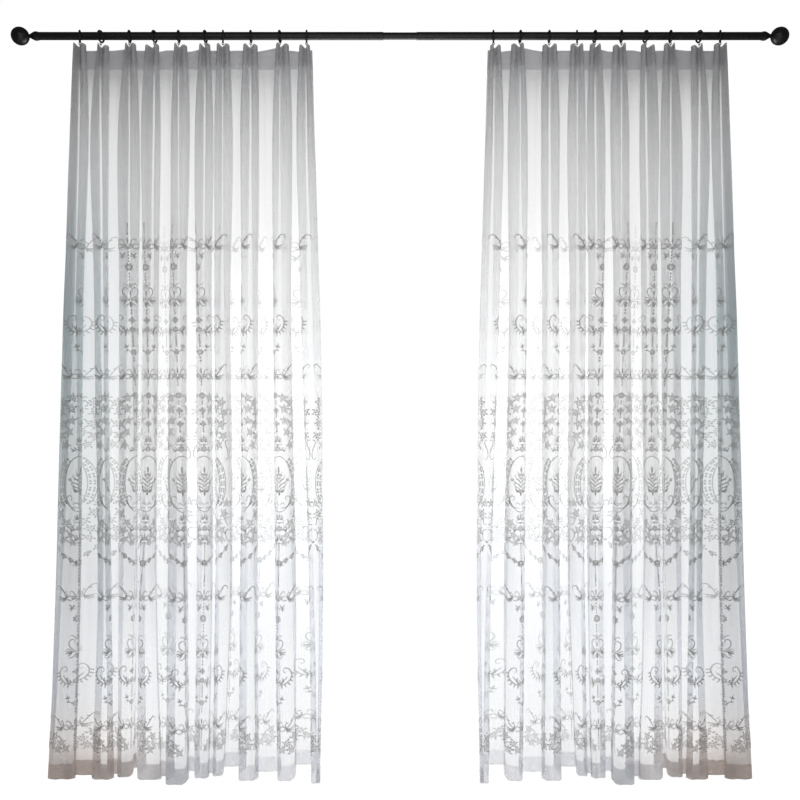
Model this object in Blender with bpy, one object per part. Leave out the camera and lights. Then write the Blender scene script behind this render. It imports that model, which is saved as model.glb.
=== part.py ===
"""Pair of sheer voile curtains with double pinch pleats, hung from rings on a straight telescopic rod.

Metres, +Z up. The origin is the middle of the rod's own middle line. +X runs along the rod and the faces of
the curtains look along -Y. Each panel is one folded sheet: its outline is worked out at a few heights from the
tables of folds below.
"""
import math
from collections import namedtuple

import bpy
import bmesh
import numpy as np

MM = 0.001

# Rod
OUTER_TUBE_DIAMETER = 28 * MM
INNER_TUBE_DIAMETER = 25 * MM
TUBE_WALL = 1.2 * MM
ROD_HALF_LENGTH = 1324 * MM
OUTER_TUBE_STARTS = 61 * MM
INNER_TUBE_HALF_LENGTH = 450 * MM
COLLAR_LENGTH = 27 * MM
COLLAR_DIAMETER = 32 * MM
BALL_DIAMETER = 64 * MM
NECK_DIAMETER = 14 * MM
FINIAL_CENTRE = 1390 * MM
ROD_SIDES = 20
SEAT_GAP = 0.3 * MM

# Rings, eyes and hooks
RING_WIRE_DIAMETER = 7 * MM
RING_INNER_DIAMETER = 32 * MM
EYE_WIRE_DIAMETER = 2.2 * MM
EYE_RADIUS = 3.9 * MM
HOOK_WIRE_DIAMETER = 2 * MM
HOOK_BEND_RADIUS = 2.6 * MM
HOOK_TIP_BELOW_EYE = 4 * MM
EYE_SUNK_IN_RING = 2.2 * MM
HOOK_FOOT_Z = -88 * MM
HOOK_PIN_TOP_Z = -63 * MM
PIN_DEPTH = 4.5 * MM
RING_STEPS = 12
EYE_STEPS = 8
WIRE_SIDES = 4

# Cloth
CLOTH_THICKNESS = 1.2 * MM
TAPE_THICKNESS = 1.0 * MM
HEADING_TOP_Z = -44 * MM
DENT_DROP = 4 * MM
TAPE_BELOW_EDGE = 4 * MM
TAPE_HEIGHT = 76 * MM
HEM_Z = -2700 * MM

# Heights at which the tables give the folds: pleat tops, end of the pinch, chest, knee and hem
KEY_Z = np.array([-44, -227, -950, -2070, -2700]) * MM
# Heights of the sections in between that the sheet is built from, besides the two edges of the heading tape
SECTION_Z = np.array([-230, -560, -1080, -1640, -2180]) * MM

# One row for each pleat of the left panel, from the outer side to the leading edge: the places of its ring and
# of the left and right sides of its fold at the five heights, in millimetres from the rod's middle
Fold = namedtuple("Fold", "ring top release chest knee hem")
FOLDS = [
    Fold(-1172, (-1183, -1136), (-1190, -1127), (-1213, -1143), (-1244, -1157), (-1275, -1176)),
    Fold(-1095, (-1096, -1053), (-1114, -1053), (-1107, -1054), (-1094, -1044), (-1117, -1035)),
    Fold(-990, (-995, -955), (-1013, -944), (-1015, -946), (-1020, -959), (-1028, -979)),
    Fold(-899, (-922, -872), (-933, -868), (-932, -872), (-948, -880), (-957, -861)),
    Fold(-810, (-818, -770), (-825, -760), (-831, -769), (-836, -766), (-839, -763)),
    Fold(-713, (-727, -687), (-738, -678), (-737, -680), (-737, -681), (-748, -694)),
    Fold(-648, (-664, -617), (-670, -608), (-671, -614), (-671, -616), (-683, -648)),
    Fold(-546, (-568, -515), (-575, -510), (-574, -513), (-579, -514), (-588, -514)),
    Fold(-440, (-449, -402), (-459, -392), (-459, -394), (-451, -377), (-445, -381)),
    Fold(-342, (-365, -326), (-373, -317), (-361, -291), (-328, -278), (-320, -286)),
]

# One row for each pleat: where the fold closes in at its back, and half the width of that neck, in
# millimetres, at the chest, the knee and the hem. At the heading the neck is behind the ring and pinched shut
Neck = namedtuple("Neck", "chest knee hem")
PINCHED_NECK = 4.4 * MM
NECKS = [
    Neck((-1185, 6), (-1203, 34), (-1226, 40)),
    Neck((-1088, 6), (-1078, 6), (-1080, 14)),
    Neck((-990, 8), (-992, 24), (-1003, 20)),
    Neck((-908, 8), (-915, 28), (-908, 40)),
    Neck((-808, 6), (-804, 14), (-800, 22)),
    Neck((-718, 8), (-710, 22), (-720, 22)),
    Neck((-649, 8), (-645, 21), (-666, 14)),
    Neck((-547, 13), (-549, 18), (-552, 24)),
    Neck((-438, 11), (-418, 26), (-413, 26)),
    Neck((-328, 12), (-304, 16), (-305, 10)),
]

# One row for each pleat: how far the top edge lies below the highest pleat at its two fingers, and in the
# valley after it: at this pleat, halfway and at the next one, in millimetres
Drop = namedtuple("Drop", "left_finger right_finger after halfway before_next")
DROPS = [
    Drop(0, 1, 9, 10, 9),
    Drop(0, 8, 10, 9, 3),
    Drop(0, 1, 9, 9, 10),
    Drop(7, 2, 16, 8, 8),
    Drop(0, 7, 14, 12, 1),
    Drop(2, 1, 9, 9, 9),
    Drop(1, 2, 9, 9, 9),
    Drop(3, 5, 15, 8, -2),
    Drop(0, 3, 8, 10, 16),
    Drop(6, 5, 8, 8, 8),
]

# One row for each pleat: how far the front of its fold stands forward of the rod's middle line, in
# millimetres, and how far the valley after it does, at the five heights
Depth = namedtuple("Depth", "front valley")
DEPTHS = [
    Depth((50, 54, 58, 52, 44), (0, 2, 4, 6, 10)),
    Depth((48, 50, 54, 52, 46), (0, -2, 2, 0, 0)),
    Depth((50, 54, 56, 46, 28), (0, 3, -4, -24, -50)),
    Depth((50, 52, 50, 50, 48), (0, -3, 0, 10, 20)),
    Depth((50, 56, 62, 74, 87), (0, 4, 0, -10, -22)),
    Depth((48, 52, 56, 48, 36), (0, 0, 2, -2, -6)),
    Depth((48, 50, 52, 38, 20), (0, 3, -6, -30, -60)),
    Depth((50, 56, 60, 58, 56), (0, -3, 2, -6, -17)),
    Depth((50, 52, 56, 58, 58), (0, 3, -6, -34, -76)),
    Depth((48, 50, 50, 56, 77), (0, 0, 0, 0, 0)),
]

# Place along the rod and depth forward of it of the two side edges at the five heights, in millimetres
Edge = namedtuple("Edge", "place depth")
OUTER_EDGE = Edge((-1195, -1202, -1228, -1259, -1276), (0, 0, 4, 8, 18))
LEADING_EDGE = Edge((-321, -316, -294, -281, -286), (0, 0, 10, 26, 64))

# How deep the front of each pleat is dented between its two fingers at the five heights, in millimetres
DENT = np.array([28, 16, 5, 3, 2]) * MM

# Cross-section of a fold, in parts of its own size
SIDE_DEPTH = 0.62
FINGER_SPREAD = 0.6
NECK_DEPTH = 4 * MM
SHOULDER = 5 * MM
SHOULDER_DEPTH = 0.5 * MM

# Rings that hang a little turned on the rod, in degrees about +Z, outermost first
RING_TURNS = (17, -13, 4, -9, 3, -5, 12, 2, -4, 6)


def clear_scene():
    for thing in list(bpy.data.objects):
        bpy.data.objects.remove(thing, do_unlink=True)


def finish(name, colour, roughness, metallic=0.0):
    """Principled material of one colour."""
    material = bpy.data.materials.new(name)
    material.use_nodes = True
    shader = material.node_tree.nodes["Principled BSDF"]
    shader.inputs["Base Color"].default_value = (*colour, 1.0)
    shader.inputs["Roughness"].default_value = roughness
    shader.inputs["Metallic"].default_value = metallic
    return material


def new_mesh(name, points, faces):
    mesh = bpy.data.meshes.new(name)
    mesh.from_pydata([tuple(point) for point in points], [], [tuple(face) for face in faces])
    mesh.update()
    return mesh


def place(name, mesh, material, location=(0.0, 0.0, 0.0), turn=0.0, sharp_degrees=40.0):
    """Object of the mesh at the location, turned about +Z, shaded smooth but for its sharp edges."""
    if not mesh.materials:
        mesh.materials.append(material)
    mesh.shade_smooth()
    mesh.set_sharp_from_angle(angle=math.radians(sharp_degrees))
    thing = bpy.data.objects.new(name, mesh)
    thing.location = location
    thing.rotation_euler = (0.0, 0.0, turn)
    bpy.context.collection.objects.link(thing)
    return thing


def turned(name, profile, sides=ROD_SIDES):
    """Solid turned about the X axis: the profile's (x, radius) points run from one end to the other, and a
    radius of nought closes the end in a pole."""
    profile = np.array(profile)
    angle = np.arange(sides) * 2 * math.pi / sides
    points = []
    rings = []
    for x, radius in profile:
        if radius < 1e-9:
            rings.append([len(points)])
            points.append((x, 0.0, 0.0))
        else:
            rings.append(list(range(len(points), len(points) + sides)))
            points.extend(zip(np.full(sides, x), radius * np.cos(angle), radius * np.sin(angle)))
    faces = []
    for ring, following in zip(rings, rings[1:]):
        for k in range(sides):
            after = (k + 1) % sides
            if len(ring) == 1:
                faces.append((ring[0], following[after], following[k]))
            elif len(following) == 1:
                faces.append((ring[k], ring[after], following[0]))
            else:
                faces.append((ring[k], ring[after], following[after], following[k]))
    mesh = new_mesh(name, points, faces)
    face_outwards(mesh)
    return mesh


def face_outwards(mesh):
    work = bmesh.new()
    work.from_mesh(mesh)
    bmesh.ops.recalc_face_normals(work, faces=work.faces)
    work.to_mesh(mesh)
    work.free()


def tube(name, start, end, diameter, wall):
    """Straight tube along X with a bore right through it, as a ring of four profile corners turned about X."""
    outer = diameter / 2
    inner = outer - wall
    corners = [(start, outer), (end, outer), (end, inner), (start, inner)]
    angle = np.arange(ROD_SIDES) * 2 * math.pi / ROD_SIDES
    points = [(x, r * math.cos(a), r * math.sin(a)) for x, r in corners for a in angle]
    faces = []
    for corner in range(4):
        base = corner * ROD_SIDES
        following = (corner + 1) % 4 * ROD_SIDES
        for k in range(ROD_SIDES):
            after = (k + 1) % ROD_SIDES
            faces.append((base + k, base + after, following + after, following + k))
    mesh = new_mesh(name, points, faces)
    face_outwards(mesh)
    return mesh


def wire(name, route, radius, sides, across, closed=False):
    """Wire of a polygon section along a route that lies in one plane, to which the vector across is square.
    An open wire is closed by a flat cap at each end."""
    route = np.array(route, dtype=float)
    across = np.array(across, dtype=float)
    if closed:
        along = np.roll(route, -1, axis=0) - np.roll(route, 1, axis=0)
    else:
        along = np.gradient(route, axis=0)
    along /= np.linalg.norm(along, axis=1)[:, None]
    outward = np.cross(along, across)
    angle = (np.arange(sides) + 0.5) * 2 * math.pi / sides
    circle = np.cos(angle)[:, None, None] * outward + np.sin(angle)[:, None, None] * across
    points = (route + radius * circle).transpose(1, 0, 2).reshape(-1, 3)
    count = len(route)
    faces = []
    for k in range(count if closed else count - 1):
        base = k * sides
        following = (k + 1) % count * sides
        for side in range(sides):
            after = (side + 1) % sides
            faces.append((base + side, base + after, following + after, following + side))
    if not closed:
        faces.append(tuple(range(sides)))
        faces.append(tuple(range((count - 1) * sides, count * sides)))
    mesh = new_mesh(name, points, faces)
    face_outwards(mesh)
    return mesh


def ring_mesh():
    """Curtain ring in the YZ plane, joined to its small eye in the XZ plane below it."""
    radius = (RING_INNER_DIAMETER + RING_WIRE_DIAMETER) / 2
    middle_z = OUTER_TUBE_DIAMETER / 2 + SEAT_GAP - RING_INNER_DIAMETER / 2
    angle = np.arange(RING_STEPS) * 2 * math.pi / RING_STEPS
    zero = np.zeros_like(angle)
    route = np.stack([zero, radius * np.cos(angle), middle_z + radius * np.sin(angle)], axis=1)
    hoop = wire("ring_hoop", route, RING_WIRE_DIAMETER / 2, WIRE_SIDES, (1.0, 0.0, 0.0), closed=True)
    angle = np.arange(EYE_STEPS) * 2 * math.pi / EYE_STEPS
    zero = np.zeros_like(angle)
    route = np.stack([EYE_RADIUS * np.cos(angle), zero, eye_z() + EYE_RADIUS * np.sin(angle)], axis=1)
    eye = wire("ring_eye", route, EYE_WIRE_DIAMETER / 2, WIRE_SIDES, (0.0, 1.0, 0.0), closed=True)
    hoop_object = bpy.data.objects.new("hoop", hoop)
    eye_object = bpy.data.objects.new("eye", eye)
    for thing in (hoop_object, eye_object):
        bpy.context.collection.objects.link(thing)
    union = hoop_object.modifiers.new("join_eye", "BOOLEAN")
    union.operation = "UNION"
    union.object = eye_object
    bpy.context.view_layer.update()
    joined = bpy.data.meshes.new_from_object(hoop_object.evaluated_get(bpy.context.evaluated_depsgraph_get()))
    joined.name = "ring"
    for thing in (hoop_object, eye_object):
        bpy.data.objects.remove(thing, do_unlink=True)
    return joined


def eye_z():
    ring_bottom = OUTER_TUBE_DIAMETER / 2 + SEAT_GAP - RING_INNER_DIAMETER - RING_WIRE_DIAMETER
    return ring_bottom - EYE_RADIUS - EYE_WIRE_DIAMETER / 2 + EYE_SUNK_IN_RING


def hook_mesh():
    """Drapery hook in the YZ plane: it bends over the lowest point of the ring's eye, runs down behind the
    heading and turns up again as a pin inside the pinched neck of the pleat."""
    bar_z = eye_z() - EYE_RADIUS
    bend = np.linspace(math.pi, 0, 5)
    over = [(HOOK_BEND_RADIUS * math.cos(a), bar_z + HOOK_BEND_RADIUS * math.sin(a)) for a in bend]
    foot = (HOOK_BEND_RADIUS + PIN_DEPTH) / 2
    middle = (HOOK_BEND_RADIUS - PIN_DEPTH) / 2
    turn = np.linspace(0, -math.pi, 4)
    under = [(middle + foot * math.cos(a), HOOK_FOOT_Z + foot * math.sin(a)) for a in turn]
    tip = (-HOOK_BEND_RADIUS, bar_z - HOOK_TIP_BELOW_EYE)
    path = [tip, *over, *under, (-PIN_DEPTH, HOOK_PIN_TOP_Z)]
    route = [(0.0, y, z) for y, z in path]
    return wire("hook", route, HOOK_WIRE_DIAMETER / 2, WIRE_SIDES, (1.0, 0.0, 0.0))


def smooth_between(values, z):
    """Values at the key heights carried smoothly to the heights z: between two keys it is the cubic whose
    slopes at the keys are the mean slopes of the stretches on both sides."""
    values = np.asarray(values, dtype=float)
    slopes = np.gradient(values, KEY_Z, axis=0)
    z = np.clip(np.atleast_1d(z), KEY_Z[-1], KEY_Z[0])
    piece = np.clip(np.searchsorted(-KEY_Z, -z, side="right") - 1, 0, len(KEY_Z) - 2)
    width = KEY_Z[piece + 1] - KEY_Z[piece]
    t = (z - KEY_Z[piece]) / width
    shape = (-1,) + (1,) * (values.ndim - 1)
    t, width = t.reshape(shape), width.reshape(shape)
    return (
        (2 * t**3 - 3 * t**2 + 1) * values[piece]
        + (t**3 - 2 * t**2 + t) * width * slopes[piece]
        + (3 * t**2 - 2 * t**3) * values[piece + 1]
        + (t**3 - t**2) * width * slopes[piece + 1]
    )


def fold_lines(z):
    """The lines that run down the left panel at the heights z, as x and y arrays of one row for each height.
    Each pleat gives nine: shoulder, neck, side and finger tip, the dent between the fingers, and the same back
    again. A valley line lies between two pleats and an edge line at each side of the cloth."""
    sides = smooth_between(np.array([fold[1:] for fold in FOLDS]).transpose(1, 0, 2) * MM, z)
    rings = [fold.ring for fold in FOLDS]
    necks = np.array(NECKS).transpose(1, 2, 0)
    neck_x = smooth_between(np.array([rings, rings, *necks[:, 0]]) * MM, z)
    pinched = np.full((2, len(FOLDS)), PINCHED_NECK)
    opening = smooth_between(np.concatenate([pinched, necks[:, 1] * MM]), z)
    front = smooth_between(-np.array([depth.front for depth in DEPTHS]).T * MM, z)
    valley = smooth_between(-np.array([depth.valley for depth in DEPTHS]).T * MM, z)
    dent = smooth_between(DENT, z)
    edge_x = smooth_between(np.array([OUTER_EDGE.place, LEADING_EDGE.place]).T * MM, z)
    edge_y = smooth_between(-np.array([OUTER_EDGE.depth, LEADING_EDGE.depth]).T * MM, z)

    lines = [(edge_x[:, 0], edge_y[:, 0])]
    for i in range(len(FOLDS)):
        left, right = sides[:, i, 0], sides[:, i, 1]
        middle, half = (left + right) / 2, (right - left) / 2
        behind_left = valley[:, i - 1] if i else edge_y[:, 0]
        behind_right = valley[:, i] if i < len(FOLDS) - 1 else edge_y[:, 1]
        y_front = front[:, i]
        left_side_y = behind_left + SIDE_DEPTH * (y_front - behind_left)
        right_side_y = behind_right + SIDE_DEPTH * (y_front - behind_right)
        neck_left = neck_x[:, i] - opening[:, i]
        neck_right = neck_x[:, i] + opening[:, i]
        depth = (behind_left + behind_right) / 2 - y_front
        dent_x = middle + (neck_x[:, i] - middle) * dent / depth
        lines += [
            (neck_left - SHOULDER, behind_left - SHOULDER_DEPTH),
            (neck_left, behind_left - NECK_DEPTH),
            (left, left_side_y),
            (middle - FINGER_SPREAD * half, y_front),
            (dent_x, y_front + dent),
            (middle + FINGER_SPREAD * half, y_front),
            (right, right_side_y),
            (neck_right, behind_right - NECK_DEPTH),
            (neck_right + SHOULDER, behind_right - SHOULDER_DEPTH),
        ]
        if i < len(FOLDS) - 1:
            next_left = neck_x[:, i + 1] - opening[:, i + 1]
            lines.append(((neck_right + next_left) / 2, behind_right))
    lines.append((edge_x[:, 1], edge_y[:, 1]))
    x, y = (np.stack(part, axis=1) for part in zip(*lines))
    return x, y


def section_normals(x, y):
    """For each point of each section, the vector square to the sheet that keeps an offset of one unit on both
    sides of a corner. It points to the back of the cloth."""
    along = np.stack([np.diff(x, axis=1), np.diff(y, axis=1)], axis=2)
    along /= np.linalg.norm(along, axis=2)[:, :, None]
    square = np.stack([-along[:, :, 1], along[:, :, 0]], axis=2)
    before = np.concatenate([square[:, :1], square], axis=1)
    after = np.concatenate([square, square[:, -1:]], axis=1)
    both = before + after
    return 2 * both / (both**2).sum(axis=2)[:, :, None]


def sheet_mesh(name, x, y, z, nearer, farther, side):
    """Closed sheet between two offsets of the sections, the nearer one towards the front. side is 1 for the
    left panel and -1 for its mirror image on the right."""
    normals = section_normals(x, y)
    rows, columns = x.shape
    faces_of_sheet = []
    for offset in (nearer, farther):
        px = side * (x + offset * normals[:, :, 0])
        py = y + offset * normals[:, :, 1]
        faces_of_sheet.append(np.stack([px, py, z], axis=2).reshape(-1, 3))
    points = np.concatenate(faces_of_sheet)
    front = np.arange(rows * columns).reshape(rows, columns)
    back = front + rows * columns
    quads = []
    for grid in (front, back):
        corners = (grid[:-1, :-1], grid[1:, :-1], grid[1:, 1:], grid[:-1, 1:])
        quads.append(np.stack([corner.ravel() for corner in corners], axis=1))
    edges = (np.s_[0], np.s_[-1], np.s_[:, 0], np.s_[:, -1])
    for near, far in [(front[edge], back[edge]) for edge in edges]:
        quads.append(np.stack([near[:-1], near[1:], far[1:], far[:-1]], axis=1))
    mesh = new_mesh(name, points, np.concatenate(quads))
    split_and_orient(mesh, rows, columns)
    return mesh


def split_and_orient(mesh, rows, columns):
    """Cuts every four-sided face of both faces of the sheet along the same diagonal, so that they stay parallel,
    and turns all faces outwards."""
    work = bmesh.new()
    work.from_mesh(mesh)
    work.verts.ensure_lookup_table()
    count = rows * columns
    for face in list(work.faces):
        corners = sorted(face.verts, key=lambda corner: corner.index % count)
        first, last = corners[0], corners[-1]
        if first.index // count == last.index // count:
            bmesh.utils.face_split(face, first, last)
    bmesh.ops.recalc_face_normals(work, faces=work.faces)
    work.to_mesh(mesh)
    work.free()


def top_edge_z():
    """Height of the top edge at each line that runs down the cloth. A side line lies a quarter of the way from
    its finger down to the valley beside it, and the dent a little below the mean of both fingers."""
    before = DROPS[0].after
    drops = [before]
    for left, right, after, halfway, before_next in DROPS:
        dent = (left + right) / 2 + DENT_DROP / MM
        sides = (0.75 * left + 0.25 * before, 0.75 * right + 0.25 * after)
        drops += [before, before, sides[0], left, dent, right, sides[1], after, after, halfway]
        before = before_next
    return HEADING_TOP_Z - np.array(drops) * MM


def panel_mesh(name, side):
    heights = np.concatenate([[HEADING_TOP_Z, HEADING_TOP_Z - TAPE_HEIGHT], SECTION_Z, [HEM_Z]])
    x, y = fold_lines(heights)
    z = np.repeat(heights[:, None], x.shape[1], axis=1)
    z[0] = top_edge_z()
    return sheet_mesh(name, x, y, z, -CLOTH_THICKNESS / 2, CLOTH_THICKNESS / 2, side)


def tape_mesh(name, side):
    """Heading tape behind the cloth, from a little below its top edge to the next section down."""
    heights = np.array([HEADING_TOP_Z, HEADING_TOP_Z - TAPE_HEIGHT])
    x, y = fold_lines(heights)
    z = np.repeat(heights[:, None], x.shape[1], axis=1)
    z[0] = top_edge_z()
    part_down = TAPE_BELOW_EDGE / (z[0] - z[1])
    x[0] += part_down * (x[1] - x[0])
    y[0] += part_down * (y[1] - y[0])
    z[0] -= TAPE_BELOW_EDGE
    nearer = CLOTH_THICKNESS / 2 + SEAT_GAP
    return sheet_mesh(name, x, y, z, nearer, nearer + TAPE_THICKNESS, side)


def build_rod(metal):
    bore_gap = OUTER_TUBE_DIAMETER - INNER_TUBE_DIAMETER - 2 * SEAT_GAP
    ends = (-INNER_TUBE_HALF_LENGTH, INNER_TUBE_HALF_LENGTH)
    inner = tube("rod_inner_tube", *ends, INNER_TUBE_DIAMETER, TUBE_WALL)
    place("rod_inner_tube", inner, metal)
    for side, word in ((-1, "left"), (1, "right")):
        ends = sorted((side * OUTER_TUBE_STARTS, side * ROD_HALF_LENGTH))
        outer = tube("rod_outer_tube_" + word, *ends, OUTER_TUBE_DIAMETER, bore_gap / 2)
        place("rod_outer_tube_" + word, outer, metal)
        collar_from = ROD_HALF_LENGTH + SEAT_GAP
        for piece, profile in (("collar_", collar_profile(collar_from)), ("finial_", finial_profile())):
            solid = turned(piece + word, [(side * x, radius) for x, radius in profile])
            place(piece + word, solid, metal)


def collar_profile(start):
    """Cap on the tube's end: a straight band and a cone down to its small outer face."""
    lengths_and_radii = ((0, 0), (0, 1), (0.45, 1), (0.9, 0.62), (1, 0.5), (1, 0))
    return [(start + part * COLLAR_LENGTH, size * COLLAR_DIAMETER / 2) for part, size in lengths_and_radii]


def finial_profile():
    """Neck that starts at the collar and a ball whose arc runs from the neck round to its far pole."""
    neck = NECK_DIAMETER / 2
    radius = BALL_DIAMETER / 2
    start = math.asin(neck / radius)
    neck_from = ROD_HALF_LENGTH + COLLAR_LENGTH + 2 * SEAT_GAP
    arc = np.linspace(start, math.pi, 9)
    ball = [(FINIAL_CENTRE - radius * math.cos(a), radius * math.sin(a)) for a in arc[:-1]]
    return [(neck_from, 0.0), (neck_from, neck), *ball, (FINIAL_CENTRE + radius, 0.0)]


def build_curtain(word, side, cloth, tape, metal, ring, hook):
    place("panel_" + word, panel_mesh("panel_" + word, side), cloth, sharp_degrees=80.0)
    place("heading_tape_" + word, tape_mesh("heading_tape_" + word, side), tape, sharp_degrees=80.0)
    for number, (fold, degrees) in enumerate(zip(FOLDS, RING_TURNS), start=1):
        at = (side * fold.ring * MM, 0.0, 0.0)
        place(f"ring_{word}_{number:02d}", ring, metal, at, math.radians(side * degrees))
        place(f"hook_{word}_{number:02d}", hook, metal, at)


def main():
    clear_scene()
    voile = finish("white_voile", (0.86, 0.87, 0.88), 0.8)
    tape = finish("heading_tape", (0.8, 0.8, 0.82), 0.85)
    rod_metal = finish("black_metal", (0.012, 0.012, 0.013), 0.42, 0.3)
    ring = ring_mesh()
    hook = hook_mesh()
    build_rod(rod_metal)
    build_curtain("left", 1, voile, tape, rod_metal, ring, hook)
    build_curtain("right", -1, voile, tape, rod_metal, ring, hook)


main()
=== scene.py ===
"""Looks of a pair of sheer voile curtains on a ringed rod: the fine folded cloth, its embroidery and sewing,
the heading tape, the rod, the rings and the hooks.

Metres, +Z up. The origin is the middle of the rod, +X runs along it and the faces look along -Y. The left
panel is worked out and the right one is its mirror image. Places on the cloth are flat ones: across from the
outer side edge and down from the top edge, in metres, as the cut lay before it was pleated and hung.
"""
import math
from collections import namedtuple

import bpy
import numpy as np
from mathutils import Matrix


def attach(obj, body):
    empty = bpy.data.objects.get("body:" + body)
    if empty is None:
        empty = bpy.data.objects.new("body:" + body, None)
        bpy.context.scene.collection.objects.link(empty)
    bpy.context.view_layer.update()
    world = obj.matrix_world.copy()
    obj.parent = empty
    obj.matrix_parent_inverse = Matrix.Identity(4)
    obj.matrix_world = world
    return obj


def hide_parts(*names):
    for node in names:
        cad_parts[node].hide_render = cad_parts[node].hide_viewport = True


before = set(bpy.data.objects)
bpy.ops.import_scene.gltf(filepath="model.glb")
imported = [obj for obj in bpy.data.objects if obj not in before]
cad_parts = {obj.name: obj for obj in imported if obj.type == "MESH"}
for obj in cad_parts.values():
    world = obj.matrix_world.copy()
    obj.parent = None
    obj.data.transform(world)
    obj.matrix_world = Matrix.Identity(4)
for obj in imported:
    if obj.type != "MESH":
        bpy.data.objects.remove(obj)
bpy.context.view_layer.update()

MM = 0.001
SIDES = (("left", 1), ("right", -1))

# Camera
CAMERA_BACK = 3.0
CAMERA_HEIGHT = -1.332
CAMERA_LENS = 36.885
SENSOR_WIDTH = 36.0

# Rod, rings and hooks, as they are in the frame
OUTER_TUBE_DIAMETER = 28 * MM
INNER_TUBE_DIAMETER = 25 * MM
TUBE_WALL = 1.2 * MM
ROD_HALF_LENGTH = 1324 * MM
OUTER_TUBE_STARTS = 61 * MM
INNER_TUBE_HALF_LENGTH = 450 * MM
COLLAR_LENGTH = 27 * MM
COLLAR_DIAMETER = 32 * MM
BALL_DIAMETER = 64 * MM
NECK_DIAMETER = 14 * MM
FINIAL_CENTRE = 1390 * MM
SEAT_GAP = 0.3 * MM
TURNED_SIDES = 72
TURNED_SHARP = 35
TAPE_SHARP = 60
RING_WIRE_DIAMETER = 7 * MM
RING_INNER_DIAMETER = 32 * MM
EYE_WIRE_DIAMETER = 2.2 * MM
EYE_RADIUS = 3.9 * MM
EYE_SUNK_IN_RING = 2.2 * MM
HOOK_WIRE_DIAMETER = 2 * MM
HOOK_BEND_RADIUS = 2.6 * MM
HOOK_TIP_BELOW_EYE = 4 * MM
HOOK_FOOT_Z = -88 * MM
HOOK_PIN_TOP_Z = -63 * MM
PIN_DEPTH = 4.5 * MM
RING_TURNS = (17, -13, 4, -9, 3, -5, 12, 2, -4, 6)

# Cloth
CLOTH_THICKNESS = 1.2 * MM
TAPE_THICKNESS = 1.0 * MM
HEADING_TOP_Z = -44 * MM
DENT_DROP = 4 * MM
TAPE_BELOW_EDGE = 4 * MM
TAPE_HEIGHT = 76 * MM
HEM_Z = -2700 * MM
HEM_HEIGHT = 55 * MM
SIDE_HEM = 25 * MM
HEM_LAYER_GAP = 1.1 * MM
KEY_Z = np.array([-44, -227, -950, -2070, -2700]) * MM

# One row for each pleat of the left panel, from the outer side to the leading edge: the places of its ring
# and of the left and right sides of its fold at the five key heights, in millimetres from the rod's middle
Fold = namedtuple("Fold", "ring top release chest knee hem")
FOLDS = [
    Fold(-1172, (-1183, -1136), (-1190, -1127), (-1213, -1143), (-1244, -1157), (-1275, -1176)),
    Fold(-1095, (-1096, -1053), (-1114, -1053), (-1107, -1054), (-1094, -1044), (-1117, -1035)),
    Fold(-990, (-995, -955), (-1013, -944), (-1015, -946), (-1020, -959), (-1028, -979)),
    Fold(-899, (-922, -872), (-933, -868), (-932, -872), (-948, -880), (-957, -861)),
    Fold(-810, (-818, -770), (-825, -760), (-831, -769), (-836, -766), (-839, -763)),
    Fold(-713, (-727, -687), (-738, -678), (-737, -680), (-737, -681), (-748, -694)),
    Fold(-648, (-664, -617), (-670, -608), (-671, -614), (-671, -616), (-683, -648)),
    Fold(-546, (-568, -515), (-575, -510), (-574, -513), (-579, -514), (-588, -514)),
    Fold(-440, (-449, -402), (-459, -392), (-459, -394), (-451, -377), (-445, -381)),
    Fold(-342, (-365, -326), (-373, -317), (-361, -291), (-328, -278), (-320, -286)),
]

# One row for each pleat: where the fold closes in at its back, and half the width of that neck, in
# millimetres, at the chest, the knee and the hem
Neck = namedtuple("Neck", "chest knee hem")
PINCHED_NECK = 4.4 * MM
NECKS = [
    Neck((-1185, 6), (-1203, 34), (-1226, 40)),
    Neck((-1088, 6), (-1078, 6), (-1080, 14)),
    Neck((-990, 8), (-992, 24), (-1003, 20)),
    Neck((-908, 8), (-915, 28), (-908, 40)),
    Neck((-808, 6), (-804, 14), (-800, 22)),
    Neck((-718, 8), (-710, 22), (-720, 22)),
    Neck((-649, 8), (-645, 21), (-666, 14)),
    Neck((-547, 13), (-549, 18), (-552, 24)),
    Neck((-438, 11), (-418, 26), (-413, 26)),
    Neck((-328, 12), (-304, 16), (-305, 10)),
]

# One row for each pleat: how far the top edge lies below the highest pleat at its two fingers, and in the
# valley after it: at this pleat, halfway and at the next one, in millimetres
Drop = namedtuple("Drop", "left_finger right_finger after halfway before_next")
DROPS = [
    Drop(0, 1, 9, 10, 9),
    Drop(0, 8, 10, 9, 3),
    Drop(0, 1, 9, 9, 10),
    Drop(7, 2, 16, 8, 8),
    Drop(0, 7, 14, 12, 1),
    Drop(2, 1, 9, 9, 9),
    Drop(1, 2, 9, 9, 9),
    Drop(3, 5, 15, 8, -2),
    Drop(0, 3, 8, 10, 16),
    Drop(6, 5, 8, 8, 8),
]

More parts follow.
